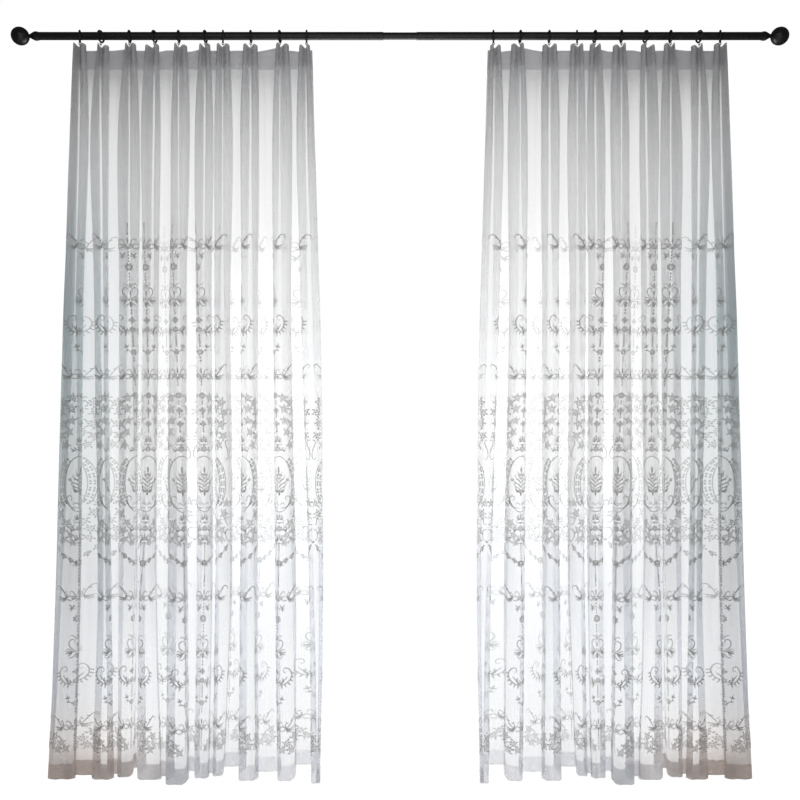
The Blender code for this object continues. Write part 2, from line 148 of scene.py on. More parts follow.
# One row for each pleat: how far the front of its fold stands forward of the rod's middle line, in
# millimetres, and how far the valley after it does, at the five key heights
Depth = namedtuple("Depth", "front valley")
DEPTHS = [
    Depth((50, 54, 58, 52, 44), (0, 2, 4, 6, 10)),
    Depth((48, 50, 54, 52, 46), (0, -2, 2, 0, 0)),
    Depth((50, 54, 56, 46, 28), (0, 3, -4, -24, -50)),
    Depth((50, 52, 50, 50, 48), (0, -3, 0, 10, 20)),
    Depth((50, 56, 62, 74, 87), (0, 4, 0, -10, -22)),
    Depth((48, 52, 56, 48, 36), (0, 0, 2, -2, -6)),
    Depth((48, 50, 52, 38, 20), (0, 3, -6, -30, -60)),
    Depth((50, 56, 60, 58, 56), (0, -3, 2, -6, -17)),
    Depth((50, 52, 56, 58, 58), (0, 3, -6, -34, -76)),
    Depth((48, 50, 50, 56, 77), (0, 0, 0, 0, 0)),
]
Edge = namedtuple("Edge", "place depth")
OUTER_EDGE = Edge((-1195, -1202, -1228, -1259, -1276), (0, 0, 4, 8, 18))
LEADING_EDGE = Edge((-321, -316, -294, -281, -286), (0, 0, 10, 26, 64))
DENT = np.array([28, 16, 5, 3, 2]) * MM
SIDE_DEPTH = 0.62
FINGER_SPREAD = 0.6
NECK_DEPTH = 4 * MM
SHOULDER = 5 * MM
SHOULDER_DEPTH = 0.5 * MM
NECK_ROUNDING = 4 * MM
NARROWEST_NECK = 1.5 * MM

# Fineness of the cloth: columns between a valley and the front of a fold, and rows down each stretch
COLUMNS_PER_LEG = 32
ROWS = ((-44, 0), (-124, 10), (-400, 16), (-2560, 90), (-2645, 6), (-2700, 6))

# Where an axis of the embroidered repeat falls in each fold, in millimetres from the fold's front, at three
# distances below the top edge. The cloth is pleated without regard to the embroidery, so it drifts
AXIS_AT = np.array([700, 1640, 2240]) * MM
AXIS_SHIFT = np.array([
    (50, 36, 40), (51, 40, 36), (0, 45, 35), (-19, 0, -45), (-21, 25, 40),
    (-25, 5, 0), (-59, -60, -50), (-64, -30, -70), (-65, -16, -35), (-70, -100, -80),
]) * MM
REPEAT = 180 * MM
LOWER_DESIGN_AT = 1600

# Painted shade on the embroidery, as how closed its thread is drawn, so how dark it shows against the light:
# how far the front of a fold reaches along its leg, and what is left on the folded-back legs, in the valleys,
# and low down where the folds open
FRONT_REACH = 0.24
LEG_SHADE_SHARE = 0.1
VALLEY_SHADE_SHARE = 0.4
LOW_SHADE_SHARE = 0.6
OPENS_DOWN = (1.75, 2.15)

# Sewing
STITCH_PITCH = 4.2 * MM
STITCH_LENGTH = 3.0 * MM
STITCH_HALF_WIDTH = 0.35 * MM
STITCH_INSET = 3 * MM
STITCH_LIFT = np.array([0.3, 0.8, 0.8, 0.3]) * MM

# Colours: of the cloth, and of the light that comes straight through it
# The cooler, bluish and warmer ones are painted light: tints of the light and of what lies behind, laid into
# the cloth's colour and into the light that comes through it
VOILE_PAINTED_COOL_LIGHT = (0.80, 0.86, 0.875, 1.0)
VOILE_WHITE = (0.88, 0.885, 0.89, 1.0)
VOILE_PAINTED_BLUE_LIGHT = (0.86, 0.88, 0.915, 1.0)
VOILE_PAINTED_WARM_LIGHT = (0.85, 0.77, 0.73, 1.0)
CLEAR_PAINTED_COOL_LIGHT = (0.97, 0.99, 1.0, 1.0)
CLEAR_WHITE = (1.0, 1.0, 1.0, 1.0)
CLEAR_PAINTED_BLUE_LIGHT = (0.98, 0.988, 1.0, 1.0)
CLEAR_PAINTED_WARM_LIGHT = (1.0, 0.95, 0.92, 1.0)

# Opacity, which is the share of the light that a layer stops
VOILE_OPACITY = 0.40
VOILE_THINNEST, VOILE_CLOSEST = 0.08, 0.93
THREAD_OPACITY = 0.90
THREAD_OPACITY_BEHIND = 0.22
TAPE_OPACITY = 0.46
THREAD_PITCH = 0.7 * MM

# Where the voile's painted shade and light change, down from the top edge or across from the outer side, as
# the first and last place of the change, with the values at both where they aren't 0 and 1
HEM_TOP = -HEM_Z + HEADING_TOP_Z - HEM_HEIGHT
# Painted shade: the voile is made closer, so darker against the light, under the heading, from 0.5 m down, at
# the outer side and above the hem; painted light where it is made thinner low down and in its tints
TOP_SHADE_WITHIN = 0.126
CHEST_SHADE_DOWN = (0.5, 1.0)
LOWER_LIGHT_DOWN = (1.9, 2.2)
BLUE_LIGHT_DOWN = (1.5, 2.1)
FOOT_SHADE_DOWN, FOOT_SHADE_ACROSS = (HEM_TOP - 0.09, HEM_TOP + 0.04), (0.7, 2.0, 1.0, 0.35)
OUTER_SHADE_DOWN, OUTER_SHADE_ACROSS = (0.4, 0.9), (0.06, 0.34, 1.0, 0.0)
OUTER_LOW_SHADE_DOWN = (1.9, 2.3)
COOL_LIGHT_DOWN, COOL_LIGHT_UNTIL, COOL_LIGHT_ACROSS = (0.3, 1.0), (1.1, 2.2, 1.0, 0.0), (0.15, 0.75, 1.0, 0.0)
WARM_LIGHT_DOWN, WARM_LIGHT_ACROSS = (HEM_TOP - 0.24, HEM_TOP + 0.03), (0.2, 1.1, 1.0, 0.12)

# Light: how bright the white room and floor are to the camera, what they give to the cloth, and the lamps
ROOM_WHITE = 1.03
ROOM_GLOW = 0.10
FLOOR_GLOW = 0.12
FLOOR_Z = -2.735
Lamp = namedtuple("Lamp", "name place size towards watts")
LAMPS = (
    Lamp("window_behind", (0.0, 0.9, -1.42), (1.5, 1.2), (0.0, 0.0, -1.42), 38),
    Lamp("front_fill", (0.0, -2.2, -1.5), (1.6, 1.2), (0.0, 0.0, -1.5), 12),
    Lamp("heading_fill", (0.0, -1.2, 0.1), (2.6, 0.3), (0.0, 0.0, -0.15), 4.2),
)


def smooth_between(values, z, keys=KEY_Z):
    """Values at the key heights carried smoothly to the heights z: between two keys it is the cubic whose
    slopes at the keys are the mean slopes of the stretches on both sides."""
    values = np.asarray(values, dtype=float)
    slopes = np.gradient(values, keys, axis=0)
    z = np.clip(np.atleast_1d(z), keys[-1], keys[0])
    piece = np.clip(np.searchsorted(-keys, -z, side="right") - 1, 0, len(keys) - 2)
    width = keys[piece + 1] - keys[piece]
    t = (z - keys[piece]) / width
    shape = (-1,) + (1,) * (values.ndim - 1)
    t, width = t.reshape(shape), width.reshape(shape)
    return (
        (2 * t**3 - 3 * t**2 + 1) * values[piece]
        + (t**3 - 2 * t**2 + t) * width * slopes[piece]
        + (3 * t**2 - 2 * t**3) * values[piece + 1]
        + (t**3 - t**2) * width * slopes[piece + 1]
    )


def fold_lines(z):
    """The lines that run down the left panel at the heights z, as x and y arrays of one row for each height.
    Each pleat gives nine: shoulder, neck, side and finger tip, the dent between the fingers, and the same
    back again. A valley line lies between two pleats and an edge line at each side of the cloth."""
    sides = smooth_between(np.array([fold[1:] for fold in FOLDS]).transpose(1, 0, 2) * MM, z)
    rings = [fold.ring for fold in FOLDS]
    necks = np.array(NECKS).transpose(1, 2, 0)
    neck_x = smooth_between(np.array([rings, rings, *necks[:, 0]]) * MM, z)
    pinched = np.full((2, len(FOLDS)), PINCHED_NECK)
    opening = smooth_between(np.concatenate([pinched, necks[:, 1] * MM]), z)
    closed = np.maximum(opening - NECK_ROUNDING, NARROWEST_NECK)
    front = smooth_between(-np.array([depth.front for depth in DEPTHS]).T * MM, z)
    valley = smooth_between(-np.array([depth.valley for depth in DEPTHS]).T * MM, z)
    dent = smooth_between(DENT, z)
    edge_x = smooth_between(np.array([OUTER_EDGE.place, LEADING_EDGE.place]).T * MM, z)
    edge_y = smooth_between(-np.array([OUTER_EDGE.depth, LEADING_EDGE.depth]).T * MM, z)

    lines = [(edge_x[:, 0], edge_y[:, 0])]
    for i in range(len(FOLDS)):
        left, right = sides[:, i, 0], sides[:, i, 1]
        middle, half = (left + right) / 2, (right - left) / 2
        behind_left = valley[:, i - 1] if i else edge_y[:, 0]
        behind_right = valley[:, i] if i < len(FOLDS) - 1 else edge_y[:, 1]
        y_front = front[:, i]
        neck_left, neck_right = neck_x[:, i] - closed[:, i], neck_x[:, i] + closed[:, i]
        depth = (behind_left + behind_right) / 2 - y_front
        lines += [
            (neck_left - SHOULDER, behind_left - SHOULDER_DEPTH),
            (neck_left, behind_left - NECK_DEPTH),
            (left, behind_left + SIDE_DEPTH * (y_front - behind_left)),
            (middle - FINGER_SPREAD * half, y_front),
            (middle + (neck_x[:, i] - middle) * dent / depth, y_front + dent),
            (middle + FINGER_SPREAD * half, y_front),
            (right, behind_right + SIDE_DEPTH * (y_front - behind_right)),
            (neck_right, behind_right - NECK_DEPTH),
            (neck_right + SHOULDER, behind_right - SHOULDER_DEPTH),
        ]
        if i < len(FOLDS) - 1:
            next_left = neck_x[:, i + 1] - closed[:, i + 1]
            lines.append(((neck_right + next_left) / 2, behind_right))
    lines.append((edge_x[:, 1], edge_y[:, 1]))
    x, y = (np.stack(part, axis=1) for part in zip(*lines))
    return x, y


def top_edge_drops():
    """How far the top edge lies below the highest pleat at each line that runs down the cloth. A side line
    lies a quarter of the way from its finger down to the valley, and the dent a little below the mean of both
    fingers."""
    before = DROPS[0].after
    drops = [before]
    for left, right, after, halfway, before_next in DROPS:
        dent = (left + right) / 2 + DENT_DROP / MM
        sides = (0.75 * left + 0.25 * before, 0.75 * right + 0.25 * after)
        drops += [before, before, sides[0], left, dent, right, sides[1], after, after, halfway]
        before = before_next
    return np.array(drops) * MM


def rounded(points, pieces=10):
    """Curves through the points of each row: the cubic between two points has the slopes of the parabola
    through each and its neighbours, over the square root of their distance. Each stretch is cut in equal
    parts of it."""
    step = np.sqrt(np.linalg.norm(np.diff(points, axis=1), axis=2))[:, :, None]
    rise = np.diff(points, axis=1) / step
    inner = (rise[:, :-1] * step[:, 1:] + rise[:, 1:] * step[:, :-1]) / (step[:, 1:] + step[:, :-1])
    slope = np.concatenate([rise[:, :1], inner, rise[:, -1:]], axis=1)
    t = (np.arange(pieces) / pieces)[None, None, :, None]
    start, end = points[:, :-1, None], points[:, 1:, None]
    leave, arrive = (slope[:, :-1] * step)[:, :, None], (slope[:, 1:] * step)[:, :, None]
    curve = (
        (2 * t**3 - 3 * t**2 + 1) * start
        + (t**3 - 2 * t**2 + t) * leave
        + (3 * t**2 - 2 * t**3) * end
        + (t**3 - t**2) * arrive
    )
    rows = len(points)
    return np.concatenate([curve.reshape(rows, -1, 2), points[:, -1:]], axis=1)


def row_heights():
    """Heights of the rows: each stretch down to the next height of ROWS is cut in its own number of parts."""
    parts = [np.array([ROWS[0][0]], dtype=float)]
    for (above, _), (below, count) in zip(ROWS, ROWS[1:]):
        parts.append(np.linspace(above, below, count + 1)[1:])
    return np.concatenate(parts) * MM


def wander(flat, z):
    """Small troughs and ridges that run down the cloth, in metres out from it: sums of sines across the flat
    cloth whose places drift slowly with the height. They grow from the heading down, and the gathers under
    the heading fade out within 0.5 m."""
    u, v = flat[None, :], z[:, None]
    drift = 0.9 * np.sin(2 * math.pi * v / 1.7 + 3.1 * u) + 0.5 * np.sin(2 * math.pi * v / 0.61 + 7.3 * u)
    broad = np.sin(2 * math.pi * u / 0.071 + 1.3 * drift)
    middle = np.sin(2 * math.pi * u / 0.043 + 1.7 * drift + 0.8)
    fine = np.sin(2 * math.pi * u / 0.0265 + 1.1 * drift + 2.1)
    grown = np.clip((HEADING_TOP_Z - TAPE_HEIGHT - v) / 0.35, 0.0, 1.0)
    gathers = grown * np.exp(-(HEADING_TOP_Z - v) / 0.22)
    return (0.9 * broad + 0.6 * middle) * MM * grown + 1.5 * fine * gathers * MM


class Cloth:
    """The fine surface of the left panel: points and outward normals on a grid of rows (heights) and columns
    (flat places across), with what is needed to put anything on it by its flat place."""

    def __init__(self):
        self.z = row_heights()
        x, y = fold_lines(self.z)
        curve = rounded(np.stack([x, y], axis=2))
        pieces = (curve.shape[1] - 1) // (x.shape[1] - 1)
        marks = [0] + [pieces * (5 + 5 * half) for half in range(2 * len(FOLDS) - 1)] + [curve.shape[1] - 1]
        steps = np.linalg.norm(np.diff(curve, axis=1), axis=2)
        run = np.concatenate([np.zeros((len(curve), 1)), np.cumsum(steps, axis=1)], axis=1)
        self.flat = self.flat_places(run[:, marks])
        legs = np.arange(len(marks) - 1)[:, None] + np.arange(COLUMNS_PER_LEG) / COLUMNS_PER_LEG
        legs = np.append(legs.ravel(), len(marks) - 1)
        wanted = [np.interp(legs, np.arange(len(marks)), row[marks]) for row in run]
        section = np.stack([
            np.stack([np.interp(want, row, line[:, 0]), np.interp(want, row, line[:, 1])], axis=1)
            for want, row, line in zip(wanted, run, curve)
        ])
        section[:, 1:-1] = (section[:, :-2] + 2 * section[:, 1:-1] + section[:, 2:]) / 4
        section += wander(self.flat, self.z)[:, :, None] * self.square_to(section)
        height = np.repeat(self.z[:, None], section.shape[1], axis=1)
        drop = np.interp(wanted[0], run[0, ::pieces], top_edge_drops())
        fade = np.clip(1 - (HEADING_TOP_Z - self.z) / TAPE_HEIGHT, 0.0, 1.0)
        height -= drop * fade[:, None]
        self.points = np.concatenate([section, height[:, :, None]], axis=2)
        self.down = HEADING_TOP_Z - self.z
        self.normals = surface_normals(self.points)
        self.fronts = self.flat[COLUMNS_PER_LEG::2 * COLUMNS_PER_LEG]

    @staticmethod
    def square_to(section):
        """Unit vectors in the plane of the section, square to it, that point to the front."""
        along = np.gradient(section, axis=1)
        along /= np.linalg.norm(along, axis=2)[:, :, None]
        return np.stack([along[:, :, 1], -along[:, :, 0]], axis=2)

    @staticmethod
    def flat_places(at_marks):
        """Flat place of each column: the mean length of each leg over all heights, cut in equal parts."""
        legs = np.diff(at_marks, axis=1).mean(axis=0)
        ends = np.concatenate([[0.0], np.cumsum(legs)])
        steps = np.arange(len(legs) * COLUMNS_PER_LEG + 1) / COLUMNS_PER_LEG
        return np.interp(steps, np.arange(len(ends)), ends)

    def at(self, across, down, lift):
        """Points on the surface at the flat places, lifted off it along its normals: the values at the four
        grid points around each place, weighted by how near they are."""
        i = np.clip(np.interp(down, self.down, np.arange(len(self.down))), 0, len(self.down) - 1.001)
        j = np.clip(np.interp(across, self.flat, np.arange(len(self.flat))), 0, len(self.flat) - 1.001)
        row, column = i.astype(int), j.astype(int)
        p, q = (i - row)[:, None], (j - column)[:, None]

        def mixed(grid):
            """The grid's values between its four nearest points."""
            upper = grid[row, column] * (1 - q) + grid[row, column + 1] * q
            lower = grid[row + 1, column] * (1 - q) + grid[row + 1, column + 1] * q
            return upper * (1 - p) + lower * p

        return mixed(self.points) + np.asarray(lift)[:, None] * mixed(self.normals)


def surface_normals(points):
    """Unit normals of a grid of points towards the front: the cross product of its slopes across and down."""
    across = np.gradient(points, axis=1)
    down = -np.gradient(points, axis=0)
    normals = np.cross(across, down)
    return normals / np.linalg.norm(normals, axis=2)[:, :, None]


def grid_faces(rows, columns, start=0):
    """Four-sided faces of a grid of points, which look the way that across x down-to-up points."""
    index = np.arange(rows * columns).reshape(rows, columns) + start
    corners = (index[1:, :-1], index[1:, 1:], index[:-1, 1:], index[:-1, :-1])
    return np.stack([corner.ravel() for corner in corners], axis=1)


def make_object(name, points, faces, material):
    """Smooth-shaded mesh object at the origin, of the points and the lists of corners."""
    mesh = bpy.data.meshes.new(name)
    mesh.from_pydata(points.tolist(), [], faces)
    mesh.materials.append(material)
    mesh.shade_smooth()
    thing = bpy.data.objects.new(name, mesh)
    bpy.context.scene.collection.objects.link(thing)
    return thing


def make_piece(name, points, faces, material, flat, sharp=None):
    """Object of cloth or thread. flat gives each point's flat place, kept in the UV map flat_metres."""
    thing = make_object(name, points, faces.tolist(), material)
    layer = thing.data.uv_layers.new(name="flat_metres")
    layer.data.foreach_set("uv", flat[faces.ravel()].astype(np.float32).ravel())
    if sharp is not None:
        thing.data.set_sharp_from_angle(angle=math.radians(sharp))
    thing.data.validate()
    return thing


def on_both_sides(name, points, faces, material, **more):
    """The piece on the left and its mirror image on the right, whose faces are turned back outwards."""
    left = make_piece(name + "_left", points, faces, material, **more)
    right = make_piece(name + "_right", points * (-1.0, 1.0, 1.0), faces[:, ::-1], material, **more)
    return {"left": left, "right": right}


def set_back(count, gap):
    """How far behind the cloth a turned-in layer's rows lie: a third of the gap at its fold, then all."""
    return gap * np.clip(np.arange(count) * 1.0, 0.35, 1.0)


def with_hem(points, normals, flat, hem_rows):
    """The cloth with its lower edge turned in to the back once. The turned layer repeats the lowest rows the
    other way round, a little behind them, and its flat places run on past the edge."""
    lowest = len(points) - 1 - np.arange(hem_rows + 1)
    behind = points[lowest] - set_back(len(lowest), HEM_LAYER_GAP)[:, None, None] * normals[lowest]
    behind[0, :, 2] -= 0.4 * HEM_LAYER_GAP
    flat_behind = flat[lowest]
    flat_behind[:, :, 1] = 2 * flat[-1, 0, 1] - flat_behind[:, :, 1]
    layers = ((points, behind), (normals, normals[lowest]), (flat, flat_behind))
    return [np.concatenate(pair) for pair in layers]


def with_side_hem(points, normals, flat):
    """The cloth with its first side edge turned in to the back once, in the same way."""
    count = int(np.sum(np.abs(flat[0, :, 0] - flat[0, 0, 0]) < SIDE_HEM))
    strip = points[:, :count] - set_back(count, 0.8 * HEM_LAYER_GAP)[None, :, None] * normals[:, :count]
    flat_strip = flat[:, :count].copy()
    flat_strip[:, :, 0] = 2 * flat[0, 0, 0] - flat_strip[:, :, 0]
    layers = ((strip, points), (normals[:, :count], normals), (flat_strip, flat))
    return [np.concatenate([folded[:, ::-1], whole], axis=1) for folded, whole in layers]


def panel(cloth, material):
    """Voile panel: the cloth's grid with its lower edge and then each side edge turned in. The grid is turned
    round after the first side, so that the other one comes first, and round again after it."""
    flat = np.stack(np.meshgrid(cloth.flat, cloth.down), axis=2)
    hem_rows = int(np.sum(cloth.z < HEM_Z + HEM_HEIGHT - 1e-6))
    grids = with_hem(cloth.points, cloth.normals, flat, hem_rows)
    for _ in SIDES:
        grids = [grid[:, ::-1] for grid in with_side_hem(*grids)]
    points, _, flat = grids
    return on_both_sides("voile_panel", points.reshape(-1, 3), grid_faces(*points.shape[:2]), material,
                         flat=flat.reshape(-1, 2))


def heading_tape(cloth, material):
    """Heading tape behind the top of the panel: two faces of the cloth's grid set back by its gap and
    thickness, closed round the rim."""
    down = np.linspace(TAPE_BELOW_EDGE, TAPE_BELOW_EDGE + TAPE_HEIGHT, 9)
    flat = np.stack(np.meshgrid(cloth.flat, down), axis=2).reshape(-1, 2)
    nearer = CLOTH_THICKNESS / 2 + SEAT_GAP
    front, back = (cloth.at(flat[:, 0], flat[:, 1], np.full(len(flat), -lift))
                   for lift in (nearer, nearer + TAPE_THICKNESS))
    rows, columns = len(down), len(cloth.flat)
    near = np.arange(rows * columns).reshape(rows, columns)
    far = near + rows * columns
    rims = ((near[0], far[0]), (far[-1], near[-1]), (far[:, 0], near[:, 0]), (near[:, -1], far[:, -1]))
    rim_faces = [np.stack([a[:-1], a[1:], b[1:], b[:-1]], axis=1) for a, b in rims]
    faces = [grid_faces(rows, columns), grid_faces(rows, columns, rows * columns)[:, ::-1], *rim_faces]
    return on_both_sides("pleating_tape", np.concatenate([front, back]), np.concatenate(faces), material,
                         flat=np.concatenate([flat, flat]), sharp=TAPE_SHARP)


class Chart:
    """Embroidery in its flat place: ribbons of satin stitch, each a middle line with half widths and a raised
    middle. Distances are in millimetres, across from the repeat's axis and down from the motif's own top."""

    def __init__(self):
        self.ribbons = []
        self.top = 0.0

    def ribbon(self, middle, half_width, raised=0.7, mirror=True):
        """Adds a ribbon and, unless it stands on the axis, its mirror image on the other side."""
        middle = np.asarray(middle, dtype=float) + (0.0, self.top)
        half_width = np.broadcast_to(half_width, len(middle))
        self.ribbons.append((middle, half_width, raised))
        if mirror:
            self.ribbons.append((middle * (-1.0, 1.0), half_width, raised))

    def line(self, *places, width=3.4, tip=0.3, pieces=3, mirror=True):
        """Line of stitches that runs smoothly through the places and thins at both ends, more at the last."""
        middle = rounded(np.array([places], dtype=float), pieces)[0]
        part = np.linspace(0.0, 1.0, len(middle))
        swell = np.minimum(1.0, 0.6 + 2.0 * part) * (1 - (1 - tip) * part**3)
        self.ribbon(middle, width / 2 * swell, mirror=mirror)

    def leaf(self, place, heading, length, width=4.8, bend=0.0, mirror=True):
        """Leaf from a place along an arc; its half width is nearly nought at both ends and widest past the
        middle. The heading is in degrees, 0 outward and 90 down."""
        angle = np.radians(heading + bend * np.array([0.0, 0.5, 1.0]))
        steps = length / 3 * np.stack([np.cos(angle), np.sin(angle)], axis=1)
        middle = np.asarray(place, dtype=float) + np.concatenate([[(0.0, 0.0)], np.cumsum(steps, axis=0)])
        self.ribbon(middle, width / 2 * np.array([0.3, 0.95, 0.9, 0.12]), 0.9, mirror)

    def spray(self, place, *leaves, width=4.8, mirror=True):
        """Leaves from one place, each given as heading, length and bend."""
        for heading, length, bend in leaves:
            self.leaf(place, heading, length, width, bend, mirror)

    def bead(self, place, size=6.5, mirror=False):
        """Short upright ribbon, nearly as wide in the middle as it is long."""
        middle = np.asarray(place, dtype=float) + np.array([(0, -0.55), (0, 0), (0, 0.55)]) * size
        self.ribbon(middle, np.array([0.26, 0.48, 0.26]) * size, 0.9, mirror)

    def flower(self, place, radius, petals=6, turn=0.0, mirror=True):
        """Petals at equal angles round a bead, each widest at two thirds of the radius."""
        place = np.asarray(place, dtype=float)
        for k in range(petals):
            heading = math.radians(turn + 360.0 * k / petals)
            out = np.array([math.cos(heading), math.sin(heading)])
            middle = place + out * radius * np.array([0.3, 0.68, 1.0])[:, None]
            self.ribbon(middle, np.array([0.12, 0.36, 0.14]) * radius * 6 / max(petals, 6), 0.8, mirror)
        self.bead(place, radius * 0.36, mirror)

    def chain(self, first, last, spacing=11.5, size=6.8):
        """Beads down the axis at equal distances."""
        for down in np.arange(first, last + 0.1, spacing):
            self.bead((0.0, down), size)


def crown(chart):
    """Small crown of leaves on the axis, 45 high."""
    chart.leaf((0, 26), -90, 24, 6.5, mirror=False)
    chart.line((2, 30), (9, 24), (13, 14), (20, 9), (26, 13), (23, 19), width=3.0)
    chart.line((3, 30), (14, 28), (24, 27), (31, 21), width=3.8)
    chart.leaf((3, 32), 25, 20, 5.5, -50)
    chart.leaf((1, 34), 62, 14, 4.6, -20)
    chart.bead((0, 42), 8)


def arm(chart, upright=True):
    """Arm out from the crown to an acanthus cluster, whose neck rises outward and hooks down at its end."""
    chart.line((10, 36), (22, 42), (33, 40), (41, 32), width=3.2, tip=0.8)
    if upright:
        neck = ((40, 34), (44, 20), (50, 8), (58, -4), (68, -9), (78, -5), (80, 3), (76, 8))
    else:
        neck = ((40, 34), (48, 22), (58, 8), (68, -5), (76, -9), (82, -4), (80, 4))
    chart.line(*neck, width=3.8)
    chart.spray((40, 33), (-158, 14, 25), (-112, 19, 25))
    chart.spray((40, 33), (4, 33, -30), (30, 30, -35), (54, 23, -30), (82, 16, -20))
    chart.leaf((46, 16), -150, 12, 4.4, 30)
    chart.leaf((52, 6), -30, 11, 4.2, 30)


def leaf_pair(chart):
    """Three-lobed leaf on each side of the axis, 30 high."""
    chart.line((4, 14), (12, 17), (18, 14), width=2.6)
    chart.spray((17, 15), (-125, 15, 15), (-62, 17, 25), (10, 11, 20), (75, 13, -25))


def rosette(chart, radius=15):
    """Eight-petalled flower on the axis."""
    chart.flower((0, radius), radius, 8, 22.5, mirror=False)


def lyre(chart):
    """Heart of two loops under a palmette, with acanthus feet, 98 high."""
    chart.leaf((0, 24), -90, 22, 6, mirror=False)
    chart.line((2, 26), (8, 14), (17, 8), (22, 13), width=3.0)
    chart.line((1, 66), (16, 56), (25, 42), (23, 28), (13, 23), (6, 31), (10, 38), width=3.8)
    chart.leaf((0, 52), -90, 20, 7, mirror=False)
    chart.bead((0, 58), 6)
    chart.line((1, 68), (14, 66), (26, 58), (36, 60), width=4.2)
    chart.spray((14, 68), (5, 26, -20), (32, 27, -35), (62, 22, -30))
    chart.line((2, 72), (10, 84), (20, 90), (28, 84), width=3.4)
    chart.leaf((1, 74), 85, 18, 5.5, -10)
    chart.bead((0, 90), 7)


FRINGE = ((57, 26, 20), (56, 37, 32), (52, 48, 46), (45, 58, 60), (35, 65, 76), (24, 69, 92))


def comma(chart):
    """Large scroll on each side of the axis, its curl at the top and a fringe of leaves outside, 74 high."""
    chart.line((8, 70), (26, 69), (42, 60), (54, 44), (56, 24), (46, 8), (34, 8), (29, 18), (35, 25),
               (41, 20), width=4.0)
    for across, down, heading in FRINGE:
        chart.leaf((across, down), heading, 14, 5.2, -30)
    chart.line((22, 66), (28, 54), (38, 46), (44, 36), width=4.4)
    chart.leaf((29, 54), -110, 12, 4.4, 20)


def cross_flower(chart):
    """Four petals upright and across, with a thin leaf between each two."""
    chart.flower((0, 14), 12, 4, 0, mirror=False)
    for heading in (-135, -45, 45, 135):
        chart.leaf((0, 14), heading, 10, 2.6, mirror=False)


def side_leaves(chart):
    """Cross flower whose side leaves curl up, 24 high."""
    chart.flower((0, 12), 11, 6, 30, mirror=False)
    chart.line((8, 14), (20, 17), (30, 12), (33, 3), width=3.6)
    chart.leaf((14, 15), -60, 13, 4.6, 25)
    chart.leaf((18, 16), 40, 12, 4.6, -30)


def sprig_flower(chart):
    """Flower with a leafy sprig rising on each side, 42 high."""
    chart.flower((0, 31), 11, 6, 0, mirror=False)
    chart.line((8, 29), (18, 24), (24, 12), width=2.8)
    chart.spray((23, 14), (-130, 11, 10), (-75, 15, 10), (-15, 11, 10))
    chart.leaf((16, 24), 12, 12, 4.4, -20)


def at(chart, down, motif, *more):
    """Draws a motif with its top at the distance down."""
    chart.top = down
    motif(chart, *more)
    chart.top = 0.0


def open_group(chart, top):
    """The open part of the design, from the upper crown to the lower one."""
    chart.chain(top - 46, top - 11)
    at(chart, top, crown)
    at(chart, top, arm)
    chart.chain(top + 54, top + 90)
    at(chart, top + 55, leaf_pair)
    at(chart, top + 94, rosette)
    chart.chain(top + 132, top + 156)
    at(chart, top + 160, lyre)
    chart.chain(top + 264, top + 276)
    at(chart, top + 286, cross_flower)
    at(chart, top + 276, comma)
    at(chart, top + 322, side_leaves)
    chart.chain(top + 354, top + 392, 9.5)
    at(chart, top + 384, sprig_flower)
    chart.chain(top + 434, top + 456)
    at(chart, top + 468, crown)
    at(chart, top + 468, arm, False)
    chart.chain(top + 520, top + 540)


def cluster(chart, across, down, size, turn=0):
    """Flower with leaves round it."""
    chart.flower((across, down), size, 5, turn)
    for k in range(5):
        heading = turn + 72 * k + 36
        angle = math.radians(heading)
        place = (across + 0.85 * math.cos(angle) * size, down + 0.85 * math.sin(angle) * size)
        chart.leaf(place, heading + (12 if k % 2 else -20), (1.1 if k % 2 else 0.85) * size, 0.5 * size, 35)


# Garlands: the place across, the place down and the size of each cluster of flower and leaves
GARLAND = ((30, 6, 11), (58, 24, 12), (32, 46, 11), (68, 60, 12), (30, 88, 10), (60, 100, 12), (38, 130, 10),
           (66, 144, 11), (48, 176, 10))
FOOT_GARLAND = ((76, -38, 10), (66, 0, 12), (40, 32, 11), (56, 60, 11), (28, 76, 10), (52, 92, 10),
                (20, 102, 9))
BORDER = ((70, 2, 12), (42, 24, 11), (77, 32, 10), (58, 48, 11), (26, 46, 10))
PALMETTE_ARMS = ((28, 12), (42, 21), (56, 29), (70, 26), (84, 18))


def medallion(chart):
    """Small palmette over a bead, with scrolls, 46 high."""
    chart.spray((0, 27), (-90, 24, 0), width=5.6, mirror=False)
    chart.spray((3, 28), (-66, 22, -15), (-34, 19, -30), (2, 14, -40), width=4.0)
    chart.line((3, 36), (10, 40), (16, 35), (14, 29), width=2.6)
    chart.bead((0, 40), 8)


def palmette(chart):
    """Tall palmette of curled leaves in the oval, 104 high."""
    chart.leaf((0, 26), -90, 26, 8, mirror=False)
    for down, reach in PALMETTE_ARMS:
        chart.line((2, down + 10), (0.5 * reach, down + 6), (reach, down - 4), (reach + 1, down - 12),
                   width=3.2)
        chart.leaf((3, down + 4), -60, 0.6 * reach, 3.6, 20)
        chart.leaf((0.55 * reach, down + 4), 20, 9, 3.8, -40)
        chart.bead((0, down + 2), 7)
    chart.spray((3, 90), (-8, 24, -40), (26, 18, -50), width=4.2)
    chart.flower((33, 48), 6, 6, 0)
    chart.leaf((0, 86), 90, 22, 6, mirror=False)
    chart.bead((0, 100), 8)


